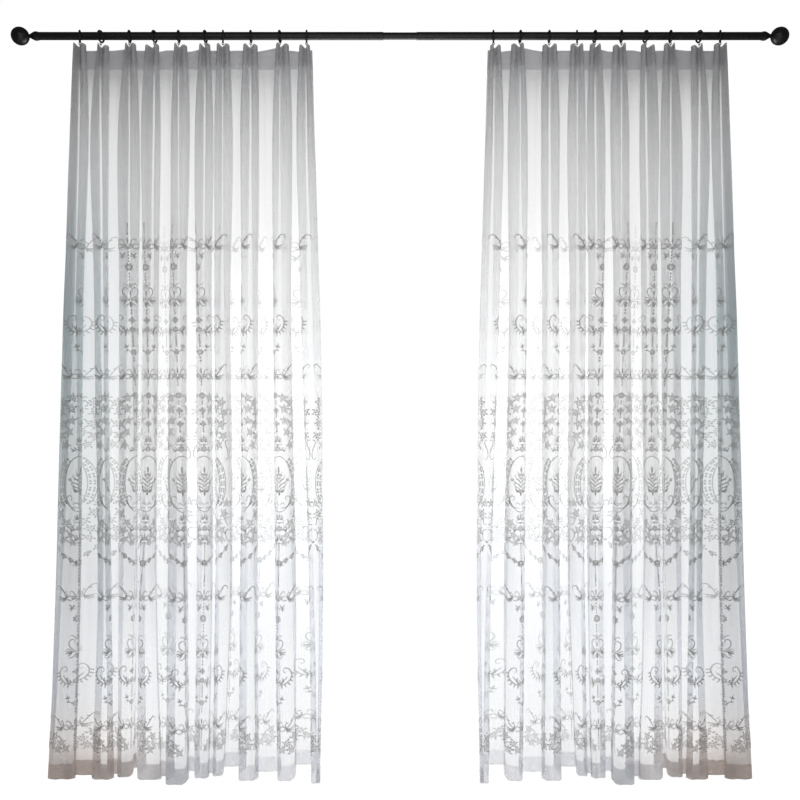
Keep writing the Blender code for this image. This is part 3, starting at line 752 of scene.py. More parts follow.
def cartouche(chart):
    """Upright oval with beaded borders on its sides, a palmette inside and scrolls in its foot, 200 high."""
    half_width, half_height = 50.0, 100.0
    turn = np.radians(np.linspace(-90, 90, 41))
    chart.ribbon(np.stack([half_width * np.cos(turn), half_height * (1 + np.sin(turn))], axis=1), 1.5)
    turn = np.radians(np.linspace(-56, 44, 25))
    chart.ribbon(np.stack([74 * np.cos(turn), 100 + 112 * np.sin(turn)], axis=1), 1.5)
    for k, turn in enumerate(np.radians(np.linspace(-52, 42, 15))):
        for reach in (56.5, 66.5):
            place = (reach * math.cos(turn), 100 + (48 + reach) * 0.98 * math.sin(turn) + 3 * (k % 2))
            chart.bead(place, 7.0, mirror=True)
    chart.top += 36
    palmette(chart)
    chart.top -= 36
    chart.line((4, 186), (24, 184), (40, 170), (43, 152), (34, 142), (24, 147), (26, 157), (32, 156),
               width=3.8)
    chart.line((2, 176), (10, 168), (18, 170), (16, 178), width=3.0)


def dense_group(chart, top):
    """The close part of the design: garlands of flowers, the oval, and the beaded swags under it."""
    at(chart, top - 14, rosette, 12)
    for across, down, size in GARLAND:
        cluster(chart, across, top + down, size, 3 * across)
    chart.line((86, top + 158), (76, top + 160), (74, top + 172), (82, top + 190), (86, top + 208),
               (83, top + 226), (74, top + 228), (72, top + 218), width=3.8)
    for down in (38, 86):
        chart.chain(top + down - 20, top + down - 4, 9)
        at(chart, top + down, cross_flower)
    chart.chain(top + 118, top + 128, 9)
    at(chart, top + 136, medallion)
    at(chart, top + 178, side_leaves)
    at(chart, top + 216, cartouche)
    foot = top + 424
    at(chart, foot - 8, medallion)
    at(chart, foot + 40, side_leaves)
    for across, down, size in FOOT_GARLAND:
        cluster(chart, across, foot + down, size, 5 * across)
    chart.line((14, foot + 40), (26, foot + 48), (22, foot + 60), (12, foot + 56), width=3.2)
    chart.line((88, foot + 16), (78, foot + 12), (72, foot + 24), (78, foot + 38), (88, foot + 38), width=3.8)
    chart.line((88, foot + 58), (77, foot + 58), (72, foot + 74), (76, foot + 92), (87, foot + 98), width=3.8)
    at(chart, foot + 66, medallion)
    chart.chain(foot + 116, foot + 250, 10.5, 6)
    swag(chart, foot + 172, 74)


def swag(chart, low, rise):
    """Beads on a hanging curve, a parabola from halfway between two axes down to this one, with flowers."""
    half = REPEAT / MM / 2
    across = half * np.linspace(0.1, 0.98, 11)
    down = low - rise * (across / half) ** 2
    for k, place in enumerate(zip(across, down)):
        if k in (2, 5, 8):
            chart.flower(place, 8.5, 5, 25 * k)
            chart.leaf(place, -70, 14, 4.6, 25)
            chart.leaf(place, 80, 13, 4.6, 25)
        else:
            chart.bead(place, 6, mirror=True)
    chart.flower((0, low + 4), 12, 8, 0, mirror=False)
    chart.spray((6, low + 6), (-30, 13, 20), (40, 14, -20), (85, 13, -10))


def border(chart, top):
    """Garland above the hem."""
    chart.chain(top, top + 60, 10.5)
    for across, down, size in BORDER:
        cluster(chart, across, top + down, size, 4 * across)


def drawn_repeat():
    """One repeat from top to bottom: the open part, the close one, the open one again and the border."""
    chart = Chart()
    open_group(chart, 701)
    dense_group(chart, 1274)
    open_group(chart, 1967)
    border(chart, 2498)
    return chart.ribbons


def ribbon_arrays(ribbons):
    """All ribbons as one list of points (across, down, raised) and one of faces. Each cross-section has its
    two edges, down on the cloth, and the raised middle between them."""
    points, faces, start = [], [], 0
    for middle, half_width, raised in ribbons:
        along = np.gradient(middle, axis=0)
        along /= np.linalg.norm(along, axis=1)[:, None] + 1e-12
        aside = np.stack([-along[:, 1], along[:, 0]], axis=1) * half_width[:, None]
        courses = ((middle - aside, 0.0), (middle, raised), (middle + aside, 0.0))
        strip = np.stack([np.column_stack([line, np.full(len(line), up)]) for line, up in courses], axis=1)
        points.append(strip.reshape(-1, 3))
        faces.append(grid_faces(len(middle), 3, start))
        start += 3 * len(middle)
    return np.concatenate(points), np.concatenate(faces)


def flat_across(cloth, along, down):
    """Flat place across of points of the embroidered row. The row runs at its own size where it crosses the
    front of a fold and gives way between two fronts: there it is the cubic with slope 1 at both of them."""
    shift = smooth_between(AXIS_SHIFT.T, -down, -AXIS_AT)
    apart = np.diff(cloth.fronts)
    repeats = np.rint((apart + np.diff(AXIS_SHIFT.mean(axis=1))) / REPEAT)
    row_at_fronts = REPEAT * np.append(0.0, np.cumsum(repeats)) - shift
    fold = (along[:, None] >= row_at_fronts).sum(axis=1) - 1
    left = np.clip(fold, 0, len(apart) - 1)
    every = np.arange(len(along))
    start, end = row_at_fronts[every, left], row_at_fronts[every, left + 1]
    size = end - start
    t = (along - start) / size
    between = cloth.fronts[left] + apart[left] * (3 * t**2 - 2 * t**3) + size * (2 * t**3 - 3 * t**2 + t)
    before = cloth.fronts[0] + along - row_at_fronts[:, 0]
    after = cloth.fronts[-1] + along - row_at_fronts[:, -1]
    return np.where(fold < 0, before, np.where(fold > len(apart) - 1, after, between))


# Painted shade: the thread is drawn closer, so darker against the light, on the fronts of the folds, and more
# open on the legs and in the valleys
def thread_shade_share(cloth, across, down):
    """1 on the front of a fold, LEG_SHADE_SHARE on its folded-back legs and VALLEY_SHADE_SHARE in the valleys, with soft
    changes between them, from how far along its leg a place lies. Low down, where the folds open, it rises to
    LOW_SHADE_SHARE all over."""
    legs = np.interp(across, cloth.flat, np.arange(len(cloth.flat)) / COLUMNS_PER_LEG)
    off_front = np.abs(legs % 2 - 1)
    marks = (FRONT_REACH, FRONT_REACH + 0.1, 0.72, 0.86)
    folded = np.interp(off_front, marks, (1.0, LEG_SHADE_SHARE, LEG_SHADE_SHARE, VALLEY_SHADE_SHARE))
    opened = np.interp(down, OPENS_DOWN, (0.0, 1.0))
    return folded + (np.maximum(folded, LOW_SHADE_SHARE) - folded) * opened


def embroidery(cloth, material, name, ribbons):
    """The ribbons of one repeat set out over the whole row. What would lie past the side hems is left out."""
    design, faces = ribbon_arrays(ribbons)
    design = design * MM
    width = cloth.flat[-1]
    all_points, all_faces, all_flat = [], [], []
    start = 0
    for k in range(-4, math.ceil(width / REPEAT) + 5):
        across = flat_across(cloth, k * REPEAT + design[:, 0], design[:, 1])
        lift = CLOTH_THICKNESS / 3 + design[:, 2]
        inside = (across > SIDE_HEM) & (across < width - SIDE_HEM)
        kept = faces[inside[faces].all(axis=1)]
        used, packed = np.unique(kept, return_inverse=True)
        if not len(used):
            continue
        all_points.append(cloth.at(across[used], design[used, 1], lift[used]))
        all_flat.append(np.stack([across[used], design[used, 1]], axis=1))
        all_faces.append(packed.reshape(kept.shape) + start)
        start += len(used)
    flat = np.concatenate(all_flat)
    pieces = on_both_sides(name, np.concatenate(all_points), np.concatenate(all_faces), material, flat=flat)
    # Each point keeps its share of painted shade for the thread's material
    for piece in pieces.values():
        share = piece.data.attributes.new("thread_shade_share", "FLOAT", "POINT")
        share.data.foreach_set("value", thread_shade_share(cloth, flat[:, 0], flat[:, 1]).astype(np.float32))
    return pieces


def stitch_row(first, last, fixed, upright=False):
    """Both ends of each stitch of a straight row, level or upright, at its fixed place down or across."""
    start = np.arange(first, last, STITCH_PITCH)
    ends = np.stack([start, start + STITCH_LENGTH], axis=1)
    place = (ends, np.full_like(ends, fixed))
    return np.stack(place[::-1] if upright else place, axis=2)


def stitches(cloth, material):
    """Sewing: a row of short raised stitches along the hem, the side hems and both edges of the heading tape.
    Each stitch is a lozenge whose middle stands higher than its ends."""
    width, length = cloth.flat[-1], cloth.down[-1]
    tape_foot = TAPE_BELOW_EDGE + TAPE_HEIGHT
    hem_top = length - HEM_HEIGHT
    down = (TAPE_BELOW_EDGE + STITCH_INSET, tape_foot - STITCH_INSET, hem_top + STITCH_INSET)
    across = (SIDE_HEM - STITCH_INSET, width - SIDE_HEM + STITCH_INSET)
    first, last = TAPE_HEIGHT + STITCH_PITCH, length - STITCH_PITCH
    rows = [stitch_row(STITCH_PITCH, width - STITCH_PITCH, place) for place in down]
    rows += [stitch_row(first, last, place, upright=True) for place in across]
    ends = np.concatenate(rows)
    along = ends[:, 1] - ends[:, 0]
    along /= np.linalg.norm(along, axis=1)[:, None]
    aside = np.stack([-along[:, 1], along[:, 0]], axis=1) * STITCH_HALF_WIDTH
    middle = ends.mean(axis=1)
    flat = np.stack([ends[:, 0], middle - aside, middle + aside, ends[:, 1]], axis=1).reshape(-1, 2)
    points = cloth.at(flat[:, 0], flat[:, 1], np.tile(STITCH_LIFT, len(ends)))
    base = 4 * np.arange(len(ends))[:, None]
    faces = np.concatenate([base + np.array([0, 1, 2]), base + np.array([1, 3, 2])])
    return on_both_sides("stitching", points, faces, material, flat=flat)


def wrapped_faces(rows, sides, closed, start=0):
    """Four-sided faces of rows of points that each run round. closed joins the last row to the first."""
    row = np.arange(rows if closed else rows - 1)[:, None] * sides
    following = (row + sides) % (rows * sides)
    here = np.arange(sides)
    after = (here + 1) % sides
    corners = (row + here, row + after, following + after, following + here)
    return (np.stack(corners, axis=2).reshape(-1, 4) + start).tolist()


def turned(profile, hollow):
    """Points and faces of a piece turned about the X axis: each (x, radius) point of the profile makes a
    circle. A hollow piece's profile closes on itself, and a solid one's ends are poles on the axis."""
    angle = np.arange(TURNED_SIDES) * 2 * math.pi / TURNED_SIDES
    rows = profile if hollow else profile[1:-1]
    x, radius = np.repeat(rows, TURNED_SIDES, axis=0).T
    angle = np.tile(angle, len(rows))
    circles = np.stack([x, radius * np.cos(angle), radius * np.sin(angle)], axis=1)
    if hollow:
        return circles, wrapped_faces(len(rows), TURNED_SIDES, True)
    poles = [(profile[end][0], 0.0, 0.0) for end in (0, -1)]
    points = np.concatenate([poles[:1], circles, poles[1:]])
    first = 1 + np.arange(TURNED_SIDES)
    last = first + (len(rows) - 1) * TURNED_SIDES
    cap = np.stack([0 * first, np.roll(first, -1), first], axis=1)
    end = np.stack([0 * last + len(points) - 1, last, np.roll(last, -1)], axis=1)
    return points, wrapped_faces(len(rows), TURNED_SIDES, False, 1) + cap.tolist() + end.tolist()


def make_turned(name, profile, side, material, hollow=False):
    """Turned piece whose profile is given for the right side and mirrored for the left."""
    points, faces = turned(profile, hollow)
    thing = make_object(name, points * (side, 1.0, 1.0), faces, material)
    thing.data.set_sharp_from_angle(angle=math.radians(TURNED_SHARP))
    outwards(thing.data)
    return thing


def outwards(mesh):
    """Turns the faces of a closed mesh outwards, when the volume that they enclose comes out negative."""
    mesh.calc_loop_triangles()
    corner = np.zeros(len(mesh.loop_triangles) * 3, dtype=np.int32)
    mesh.loop_triangles.foreach_get("vertices", corner)
    co = np.zeros(len(mesh.vertices) * 3)
    mesh.vertices.foreach_get("co", co)
    a, b, c = co.reshape(-1, 3)[corner.reshape(-1, 3)].transpose(1, 0, 2)
    if np.einsum("ij,ij->i", a, np.cross(b, c)).sum() < 0:
        mesh.flip_normals()


def swept_wire(route, radius, across, sides, closed):
    """Points and faces of a round wire along a plane route: circles whose plane is square to the route. An
    open wire is closed by a dome of two smaller circles at each end."""
    route = np.asarray(route, dtype=float)
    if closed:
        along = np.roll(route, -1, axis=0) - np.roll(route, 1, axis=0)
    else:
        along = np.gradient(route, axis=0)
    along /= np.linalg.norm(along, axis=1)[:, None]
    size = np.ones(len(route))
    if not closed:
        reach, shrunk = radius * np.array([[1.0], [0.6]]), np.array([0.15, 0.8])
        route = np.concatenate([route[0] - reach * along[0], route, route[-1] + reach[::-1] * along[-1]])
        size = np.concatenate([shrunk, size, shrunk[::-1]])
        along = np.concatenate([along[[0, 0]], along, along[[-1, -1]]])
    outward = np.cross(along, across)
    angle = np.arange(sides) * 2 * math.pi / sides
    circle = np.cos(angle)[None, :, None] * outward[:, None]
    circle = circle + np.sin(angle)[None, :, None] * np.asarray(across)
    points = (route[:, None] + radius * size[:, None, None] * circle).reshape(-1, 3)
    faces = wrapped_faces(len(route), sides, closed)
    if not closed:
        faces += [list(range(sides))[::-1], list(range(len(points) - sides, len(points)))]
    return points, faces


def eye_z():
    """Height of the middle of a ring's eye, which is welded a little way into the foot of the ring."""
    ring_bottom = OUTER_TUBE_DIAMETER / 2 + SEAT_GAP - RING_INNER_DIAMETER - RING_WIRE_DIAMETER
    return ring_bottom - EYE_RADIUS - EYE_WIRE_DIAMETER / 2 + EYE_SUNK_IN_RING


def ring_shape():
    """Curtain ring in the YZ plane and its small eye in the XZ plane, which is welded into it."""
    radius = (RING_INNER_DIAMETER + RING_WIRE_DIAMETER) / 2
    middle_z = OUTER_TUBE_DIAMETER / 2 + SEAT_GAP - RING_INNER_DIAMETER / 2
    turn = np.arange(48) * 2 * math.pi / 48
    hoop = np.stack([0 * turn, radius * np.cos(turn), middle_z + radius * np.sin(turn)], axis=1)
    points, faces = swept_wire(hoop, RING_WIRE_DIAMETER / 2, (1.0, 0.0, 0.0), 14, True)
    turn = np.arange(20) * 2 * math.pi / 20
    eye = np.stack([EYE_RADIUS * np.cos(turn), 0 * turn, eye_z() + EYE_RADIUS * np.sin(turn)], axis=1)
    eye_points, eye_faces = swept_wire(eye, EYE_WIRE_DIAMETER / 2, (0.0, 1.0, 0.0), 10, True)
    eye_faces = [[corner + len(points) for corner in face] for face in eye_faces]
    return np.concatenate([points, eye_points]), faces + eye_faces


def hook_shape():
    """Drapery hook in the YZ plane: over the lowest point of the ring's eye, down behind the heading and up
    again as a pin inside the pinched neck of the pleat."""
    bar_z = eye_z() - EYE_RADIUS
    bend = np.linspace(math.pi, 0, 11)
    over = [(HOOK_BEND_RADIUS * math.cos(a), bar_z + HOOK_BEND_RADIUS * math.sin(a)) for a in bend]
    foot = (HOOK_BEND_RADIUS + PIN_DEPTH) / 2
    middle = (HOOK_BEND_RADIUS - PIN_DEPTH) / 2
    turn = np.linspace(0, -math.pi, 11)
    under = [(middle + foot * math.cos(a), HOOK_FOOT_Z + foot * math.sin(a)) for a in turn]
    tip = (-HOOK_BEND_RADIUS, bar_z - HOOK_TIP_BELOW_EYE)
    route = [(0.0, y, z) for y, z in (tip, *over, *under, (-PIN_DEPTH, HOOK_PIN_TOP_Z))]
    return swept_wire(route, HOOK_WIRE_DIAMETER / 2, (1.0, 0.0, 0.0), 10, False)


def make_wire_piece(name, shape, place, turn, material):
    """Ring or hook, turned about the upright line through its place on the rod."""
    points, faces = shape
    cosine, sine = math.cos(turn), math.sin(turn)
    x, y, z = points.T
    points = np.stack([cosine * x - sine * y + place, sine * x + cosine * y, z], axis=1)
    thing = make_object(name, points, faces, material)
    outwards(thing.data)
    return thing


def tube_profile(start, end, diameter, wall, lip=0.5 * MM):
    """Closed profile of a tube with small round-offs at its ends."""
    outer, inner = diameter / 2, diameter / 2 - wall
    return [(start, inner), (start, outer - lip), (start + lip, outer),
            (end - lip, outer), (end, outer - lip), (end, inner)]


def collar_profile(start):
    """Cap on the tube's end: a straight band with a rounded rim and a cone down to its small outer face."""
    parts = ((0, 0), (0, 0.93), (0.03, 0.985), (0.08, 1), (0.40, 1), (0.45, 0.985), (0.5, 0.95), (0.9, 0.62),
             (0.97, 0.55), (1, 0.5), (1, 0))
    return [(start + part * COLLAR_LENGTH, size * COLLAR_DIAMETER / 2) for part, size in parts]


def finial_profile():
    """Neck that starts at the collar and a ball whose arc runs from the neck round to its far pole."""
    neck, radius = NECK_DIAMETER / 2, BALL_DIAMETER / 2
    start = math.asin(neck / radius)
    neck_from = ROD_HALF_LENGTH + COLLAR_LENGTH + 2 * SEAT_GAP
    arc = np.linspace(start, math.pi, 33)
    ball = [(FINIAL_CENTRE - radius * math.cos(a), radius * math.sin(a)) for a in arc[:-1]]
    return [(neck_from, 0.0), (neck_from, neck), *ball, (FINIAL_CENTRE + radius, 0.0)]


class Recipe:
    """A material's node tree, built by short calls. A number for a socket is set on the socket itself."""

    def __init__(self, name):
        self.material = bpy.data.materials.new(name)
        self.material.use_nodes = True
        self.tree = self.material.node_tree
        self.tree.nodes.clear()

    def feed(self, socket, value):
        """Links a socket to another node's output, or sets its number."""
        if isinstance(value, bpy.types.NodeSocket):
            self.tree.links.new(value, socket)
        else:
            socket.default_value = value

    def node(self, kind, settings=None, **inputs):
        """New shader node with its settings and inputs, whose names have a low line for each space."""
        made = self.tree.nodes.new("ShaderNode" + kind)
        for key, value in (settings or {}).items():
            setattr(made, key, value)
        for key, value in inputs.items():
            self.feed(made.inputs[key.replace("_", " ")], value)
        return made

    def calc(self, operation, *values, clamp=False):
        made = self.tree.nodes.new("ShaderNodeMath")
        made.operation = operation
        made.use_clamp = clamp
        for socket, value in zip(made.inputs, values):
            self.feed(socket, value)
        return made.outputs[0]

    def spread(self, value, low, high, to_low=0.0, to_high=1.0):
        """Value taken from one range to another and held at its ends."""
        made = self.node("MapRange", Value=value, From_Min=low, From_Max=high, To_Min=to_low, To_Max=to_high)
        return made.outputs["Result"]

    def stretched(self, vector, scale):
        return self.node("Mapping", Vector=vector, Scale=scale).outputs["Vector"]

    def noise(self, vector, scale, detail=2.0, rough=0.5):
        made = self.node("TexNoise", Vector=vector, Scale=scale, Detail=detail, Roughness=rough)
        return made.outputs["Fac"]

    def flat_place(self):
        """The piece's flat place in metres, and its parts across and down."""
        flat = self.node("UVMap", {"uv_map": "flat_metres"}).outputs["UV"]
        parts = self.node("SeparateXYZ", Vector=flat).outputs
        return flat, parts["X"], parts["Y"]

    def product(self, first, second):
        """The first value times the second."""
        return self.calc("MULTIPLY", first, second)

    def added(self, total, *shares):
        """Total with each value added times its share."""
        for value, share in shares:
            total = self.calc("MULTIPLY_ADD", value, share, total)
        return total

    def mix(self, part, first, second):
        """Colour that goes from the first to the second as the part goes from 0 to 1."""
        made = self.node("Mix", {"data_type": "RGBA"})
        for index, value in ((0, part), (6, first), (7, second)):
            self.feed(made.inputs[index], value)
        return made.outputs[2]

    def bump(self, height, distance, after=None):
        """Normal of small relief of this depth, laid over that of another bump where one is given."""
        more = {} if after is None else {"Normal": after}
        return self.node("Bump", Height=height, Strength=1.0, Distance=distance, **more).outputs["Normal"]

    def threads(self, flat, pitch):
        """Plain weave, 0 to 1: sine across times sine down, so a raised thread lies beside a sunk one."""
        place = self.node("SeparateXYZ", Vector=self.stretched(flat, (math.pi / pitch,) * 3))
        waves = self.calc("MULTIPLY", *(self.calc("SINE", place.outputs[axis]) for axis in "XY"))
        return self.calc("MULTIPLY_ADD", waves, 0.5, 0.5)

    def join(self, target, first, second):
        """Feeds two shader nodes into a Mix Shader or Add Shader node."""
        for source, socket in zip((first, second), [spot for spot in target.inputs if spot.type == "SHADER"]):
            self.tree.links.new(source.outputs[0], socket)

    def finish(self, shader):
        """The material, with the shader as its surface."""
        output = self.tree.nodes.new("ShaderNodeOutputMaterial")
        self.tree.links.new(shader, output.inputs["Surface"])
        return self.material


def cloth_shader(recipe, colour, seen_through, opacity, normal, glow_share=0.5):
    """Cloth that scatters light on both sides and lets the rest straight through between its threads."""
    face = recipe.node("BsdfPrincipled", Base_Color=colour, Roughness=0.85, Normal=normal)
    face.inputs["Specular IOR Level"].default_value = 0.15
    face.inputs["Sheen Weight"].default_value = 0.1
    glow = recipe.node("BsdfTranslucent", Color=colour, Normal=normal)
    clear = recipe.node("BsdfTransparent", Color=seen_through)
    body = recipe.node("MixShader", Fac=glow_share)
    whole = recipe.node("MixShader", Fac=opacity)
    recipe.join(body, face, glow)
    recipe.join(whole, clear, body)
    return whole.outputs[0]


def voile():
    """Fine plain-woven voile: slubs and lengthwise streaks change how much shows through it. As painted shade
    it is made closer, so darker against the light, under the heading, falling off as e to the power of minus
    the distance over the depth of that painted shade, a little closer from 0.5 m down, and at the outer side
    and above the hem; as painted light it is made thinner low down. Its colour holds painted light as well:
    cooler at the outer side, bluish lower down and faintly warmer at the hem."""
    recipe = Recipe("sheer_voile")
    flat, across, down = recipe.flat_place()
    weave = recipe.threads(flat, THREAD_PITCH)
    slubs = recipe.noise(recipe.stretched(flat, (900, 14, 1)), 1.0)
    weft = recipe.noise(recipe.stretched(flat, (12, 800, 1)), 1.0)
    streaks = recipe.noise(recipe.stretched(flat, (52, 0.8, 1)), 1.0, 3.0)
    cloud = recipe.noise(recipe.stretched(flat, (2.4, 1.3, 1)), 1.0)
    shares = ((slubs, 0.10), (weft, 0.08), (streaks, 0.30), (cloud, 0.10), (weave, 0.05))
    even = VOILE_OPACITY - sum(share for _, share in shares) / 2
    # Painted shade and light: closer, so darker, under the heading, from 0.5 m down, at the outer side and
    # above the hem; thinner, so lighter, low down
    painted_top_shade = recipe.calc("POWER", math.e, recipe.product(down, -1 / TOP_SHADE_WITHIN))
    painted_foot_shade = recipe.product(recipe.spread(down, *FOOT_SHADE_DOWN), recipe.spread(across, *FOOT_SHADE_ACROSS))
    outer = recipe.product(recipe.spread(across, *OUTER_SHADE_ACROSS), recipe.spread(down, *OUTER_SHADE_DOWN))
    painted_outer_low_shade = recipe.product(outer, recipe.spread(down, *OUTER_LOW_SHADE_DOWN))
    chest, thin = recipe.spread(down, *CHEST_SHADE_DOWN), recipe.spread(down, *LOWER_LIGHT_DOWN)
    changes = ((painted_outer_low_shade, 0.25), (painted_foot_shade, 0.50), (chest, 0.11), (thin, -0.26), (outer, 0.20),
               (painted_top_shade, 1.2))
    opacity = recipe.calc("MAXIMUM", recipe.added(even, *shares, *changes), VOILE_THINNEST)
    opacity = recipe.calc("MINIMUM", opacity, VOILE_CLOSEST)

    # Painted light: the cooler, bluish and warmer tints of the light and of what lies behind, laid into the
    # cloth's colour and into the light that comes through it
    painted_cool_light = recipe.product(recipe.spread(across, *COOL_LIGHT_ACROSS), recipe.spread(down, *COOL_LIGHT_UNTIL))
    painted_cool_light = recipe.product(painted_cool_light, recipe.spread(down, *COOL_LIGHT_DOWN))
    painted_warm_light = recipe.product(recipe.spread(down, *WARM_LIGHT_DOWN), recipe.spread(across, *WARM_LIGHT_ACROSS))
    painted_blue_light = recipe.spread(down, *BLUE_LIGHT_DOWN)
    colour, tint = (
        recipe.mix(painted_warm_light, recipe.mix(painted_cool_light, recipe.mix(painted_blue_light, white, bluish), cooler), warmer)
        for white, bluish, cooler, warmer in (
            (VOILE_WHITE, VOILE_PAINTED_BLUE_LIGHT, VOILE_PAINTED_COOL_LIGHT, VOILE_PAINTED_WARM_LIGHT),
            (CLEAR_WHITE, CLEAR_PAINTED_BLUE_LIGHT, CLEAR_PAINTED_COOL_LIGHT, CLEAR_PAINTED_WARM_LIGHT),
        )
    )
    crumple = recipe.noise(recipe.stretched(flat, (34, 16, 1)), 1.0, 3.0)
    normal = recipe.bump(weave, 0.12 * MM, recipe.bump(crumple, 0.8 * MM))
    return recipe.finish(cloth_shader(recipe, colour, tint, opacity, normal))


def silk_thread():
    """Embroidery in off-white rayon: fine satin stitches side by side, glossier than the voile. It holds
    painted
    shade: its colour is a mid grey, darker than the thread's own, and it is drawn nearly closed on the
    fronts of the folds, so that it shows dark there against the light."""
    recipe = Recipe("embroidery_thread")
    flat, _, _ = recipe.flat_place()
    stitch = recipe.noise(recipe.stretched(flat, (1500, 500, 1)), 1.0, 1.0)
    patch = recipe.noise(recipe.stretched(flat, (60, 60, 1)), 1.0)
    # Painted shade: the thread is drawn closer, so darker against the light, where this share is high
    share = recipe.node("Attribute", {"attribute_name": "thread_shade_share"}).outputs["Fac"]
    closed = recipe.spread(share, 0.0, 1.0, THREAD_OPACITY_BEHIND, THREAD_OPACITY)
    opacity = recipe.calc("MULTIPLY_ADD", stitch, 0.3, recipe.calc("SUBTRACT", closed, 0.15), clamp=True)
    # Painted shade: a mid grey, darker than the off-white thread, for thread seen against the light
    colour = recipe.mix(patch, (0.50, 0.51, 0.49, 1.0), (0.60, 0.60, 0.58, 1.0))
    normal = recipe.bump(stitch, 0.25 * MM)
    return recipe.finish(cloth_shader(recipe, colour, CLEAR_WHITE, opacity, normal, 0.25))


def tape_weave():
    """Pleating tape: close ribbed polyester with three thicker cords along it, as a sine down the tape."""
    recipe = Recipe("pleating_tape_weave")
    flat, _, down = recipe.flat_place()
    ribs = recipe.threads(flat, 1.3 * MM)
    bands = recipe.calc("SINE", recipe.product(down, 2 * math.pi / (TAPE_HEIGHT / 3)))
    grain = recipe.noise(recipe.stretched(flat, (500, 120, 1)), 1.0)
    opacity = recipe.calc("MULTIPLY_ADD", grain, 0.16, TAPE_OPACITY - 0.08)
    opacity = recipe.calc("MULTIPLY_ADD", bands, 0.04, opacity, clamp=True)
    colour = recipe.mix(grain, (0.66, 0.66, 0.72, 1.0), (0.78, 0.78, 0.83, 1.0))
    normal = recipe.bump(bands, 0.5 * MM, recipe.bump(ribs, 0.2 * MM))
    return recipe.finish(cloth_shader(recipe, colour, CLEAR_WHITE, opacity, normal, 0.4))


def sewing_thread():
    """White polyester thread with a fine twist."""
    recipe = Recipe("sewing_thread")
    twist = recipe.noise(recipe.node("TexCoord").outputs["Object"], 1200.0, 1.0)
    colour = recipe.mix(twist, (0.70, 0.70, 0.70, 1.0), (0.84, 0.84, 0.83, 1.0))
    normal = recipe.bump(twist, 0.1 * MM)
    shader = recipe.node("BsdfPrincipled", Base_Color=colour, Roughness=0.6, Normal=normal)
    return recipe.finish(shader.outputs[0])


def black_metal(name, wear):
    """Satin black paint on steel: fine orange-peel, faint brushed drift in its gloss, and paint rubbed thin
    where two noises are both high."""
    recipe = Recipe(name)
    place = recipe.node("TexCoord").outputs["Object"]
    peel = recipe.noise(place, 420.0, 3.0)
    drift = recipe.noise(recipe.stretched(place, (6, 60, 60)), 1.0, 3.0)
    dust = recipe.noise(place, 38.0, 4.0, 0.6)
    rubbed = recipe.spread(recipe.product(dust, drift), 0.30, 0.42, 0.0, wear)
    paint = recipe.mix(dust, (0.006, 0.006, 0.007, 1.0), (0.014, 0.013, 0.013, 1.0))
    colour = recipe.mix(rubbed, paint, (0.06, 0.057, 0.054, 1.0))
    gloss = recipe.spread(drift, 0.3, 0.7, 0.34, 0.48)
    normal = recipe.bump(peel, 0.08 * MM)
    shader = recipe.node("BsdfPrincipled", Base_Color=colour, Roughness=gloss, Normal=normal)
    shader.inputs["Metallic"].default_value = 0.15
    shader.inputs["Coat Weight"].default_value = 0.05
    return recipe.finish(shader.outputs[0])


def zinc_steel():
    """Zinc-plated wire: grey metal with cloudy gloss."""
    recipe = Recipe("zinc_wire")
    place = recipe.node("TexCoord").outputs["Object"]
    cloud = recipe.noise(place, 240.0, 3.0)
    colour = recipe.mix(cloud, (0.34, 0.35, 0.36, 1.0), (0.56, 0.56, 0.55, 1.0))
    gloss = recipe.spread(cloud, 0.3, 0.7, 0.28, 0.45)
    normal = recipe.bump(cloud, 0.05 * MM)
    shader = recipe.node("BsdfPrincipled", Base_Color=colour, Roughness=gloss, Normal=normal)
    shader.inputs["Metallic"].default_value = 0.9
    return recipe.finish(shader.outputs[0])


def camera():
    """Level camera straight in front of the curtains."""
    lens = bpy.data.cameras.new("camera")
    lens.lens = CAMERA_LENS
    lens.sensor_width = SENSOR_WIDTH
    lens.clip_end = 50
    eye = bpy.data.objects.new("camera", lens)
    eye.location = (0.0, -CAMERA_BACK, CAMERA_HEIGHT)
    eye.rotation_euler = (math.pi / 2, 0.0, 0.0)
    bpy.context.scene.collection.objects.link(eye)
    bpy.context.scene.camera = eye


def soft_lights():
    """Rectangular lamps, each turned from its place to what it is aimed at."""
    for name, place, size, towards, watts in LAMPS:
        light = bpy.data.lights.new(name, "AREA")
        light.shape = "RECTANGLE"
        light.size, light.size_y = size
        light.energy = watts
        lamp = bpy.data.objects.new(name, light)
        lamp.location = place
        aim = np.array(towards) - np.array(place)
        tilt = math.atan2(math.hypot(aim[0], aim[1]), -aim[2])
        lamp.rotation_euler = (tilt, 0.0, math.atan2(-aim[0], aim[1]))
        lamp.visible_camera = False
        bpy.context.scene.collection.objects.link(lamp)


def white_room():
    """White all round as seen, but a much dimmer light on the cloth, as before a bright sheet of paper."""
    world = bpy.data.worlds.new("white_room")
    bpy.context.scene.world = world
    world.use_nodes = True
    tree = world.node_tree
    tree.nodes.clear()
    seen = tree.nodes.new("ShaderNodeLightPath").outputs["Is Camera Ray"]
    strength = tree.nodes.new("ShaderNodeMapRange")
    strength.inputs["To Min"].default_value = ROOM_GLOW
    strength.inputs["To Max"].default_value = ROOM_WHITE
    paper = tree.nodes.new("ShaderNodeBackground")
    paper.inputs["Color"].default_value = CLEAR_WHITE
    output = tree.nodes.new("ShaderNodeOutputWorld")
    tree.links.new(seen, strength.inputs["Value"])
    tree.links.new(strength.outputs["Result"], paper.inputs["Strength"])
    tree.links.new(paper.outputs[0], output.inputs["Surface"])


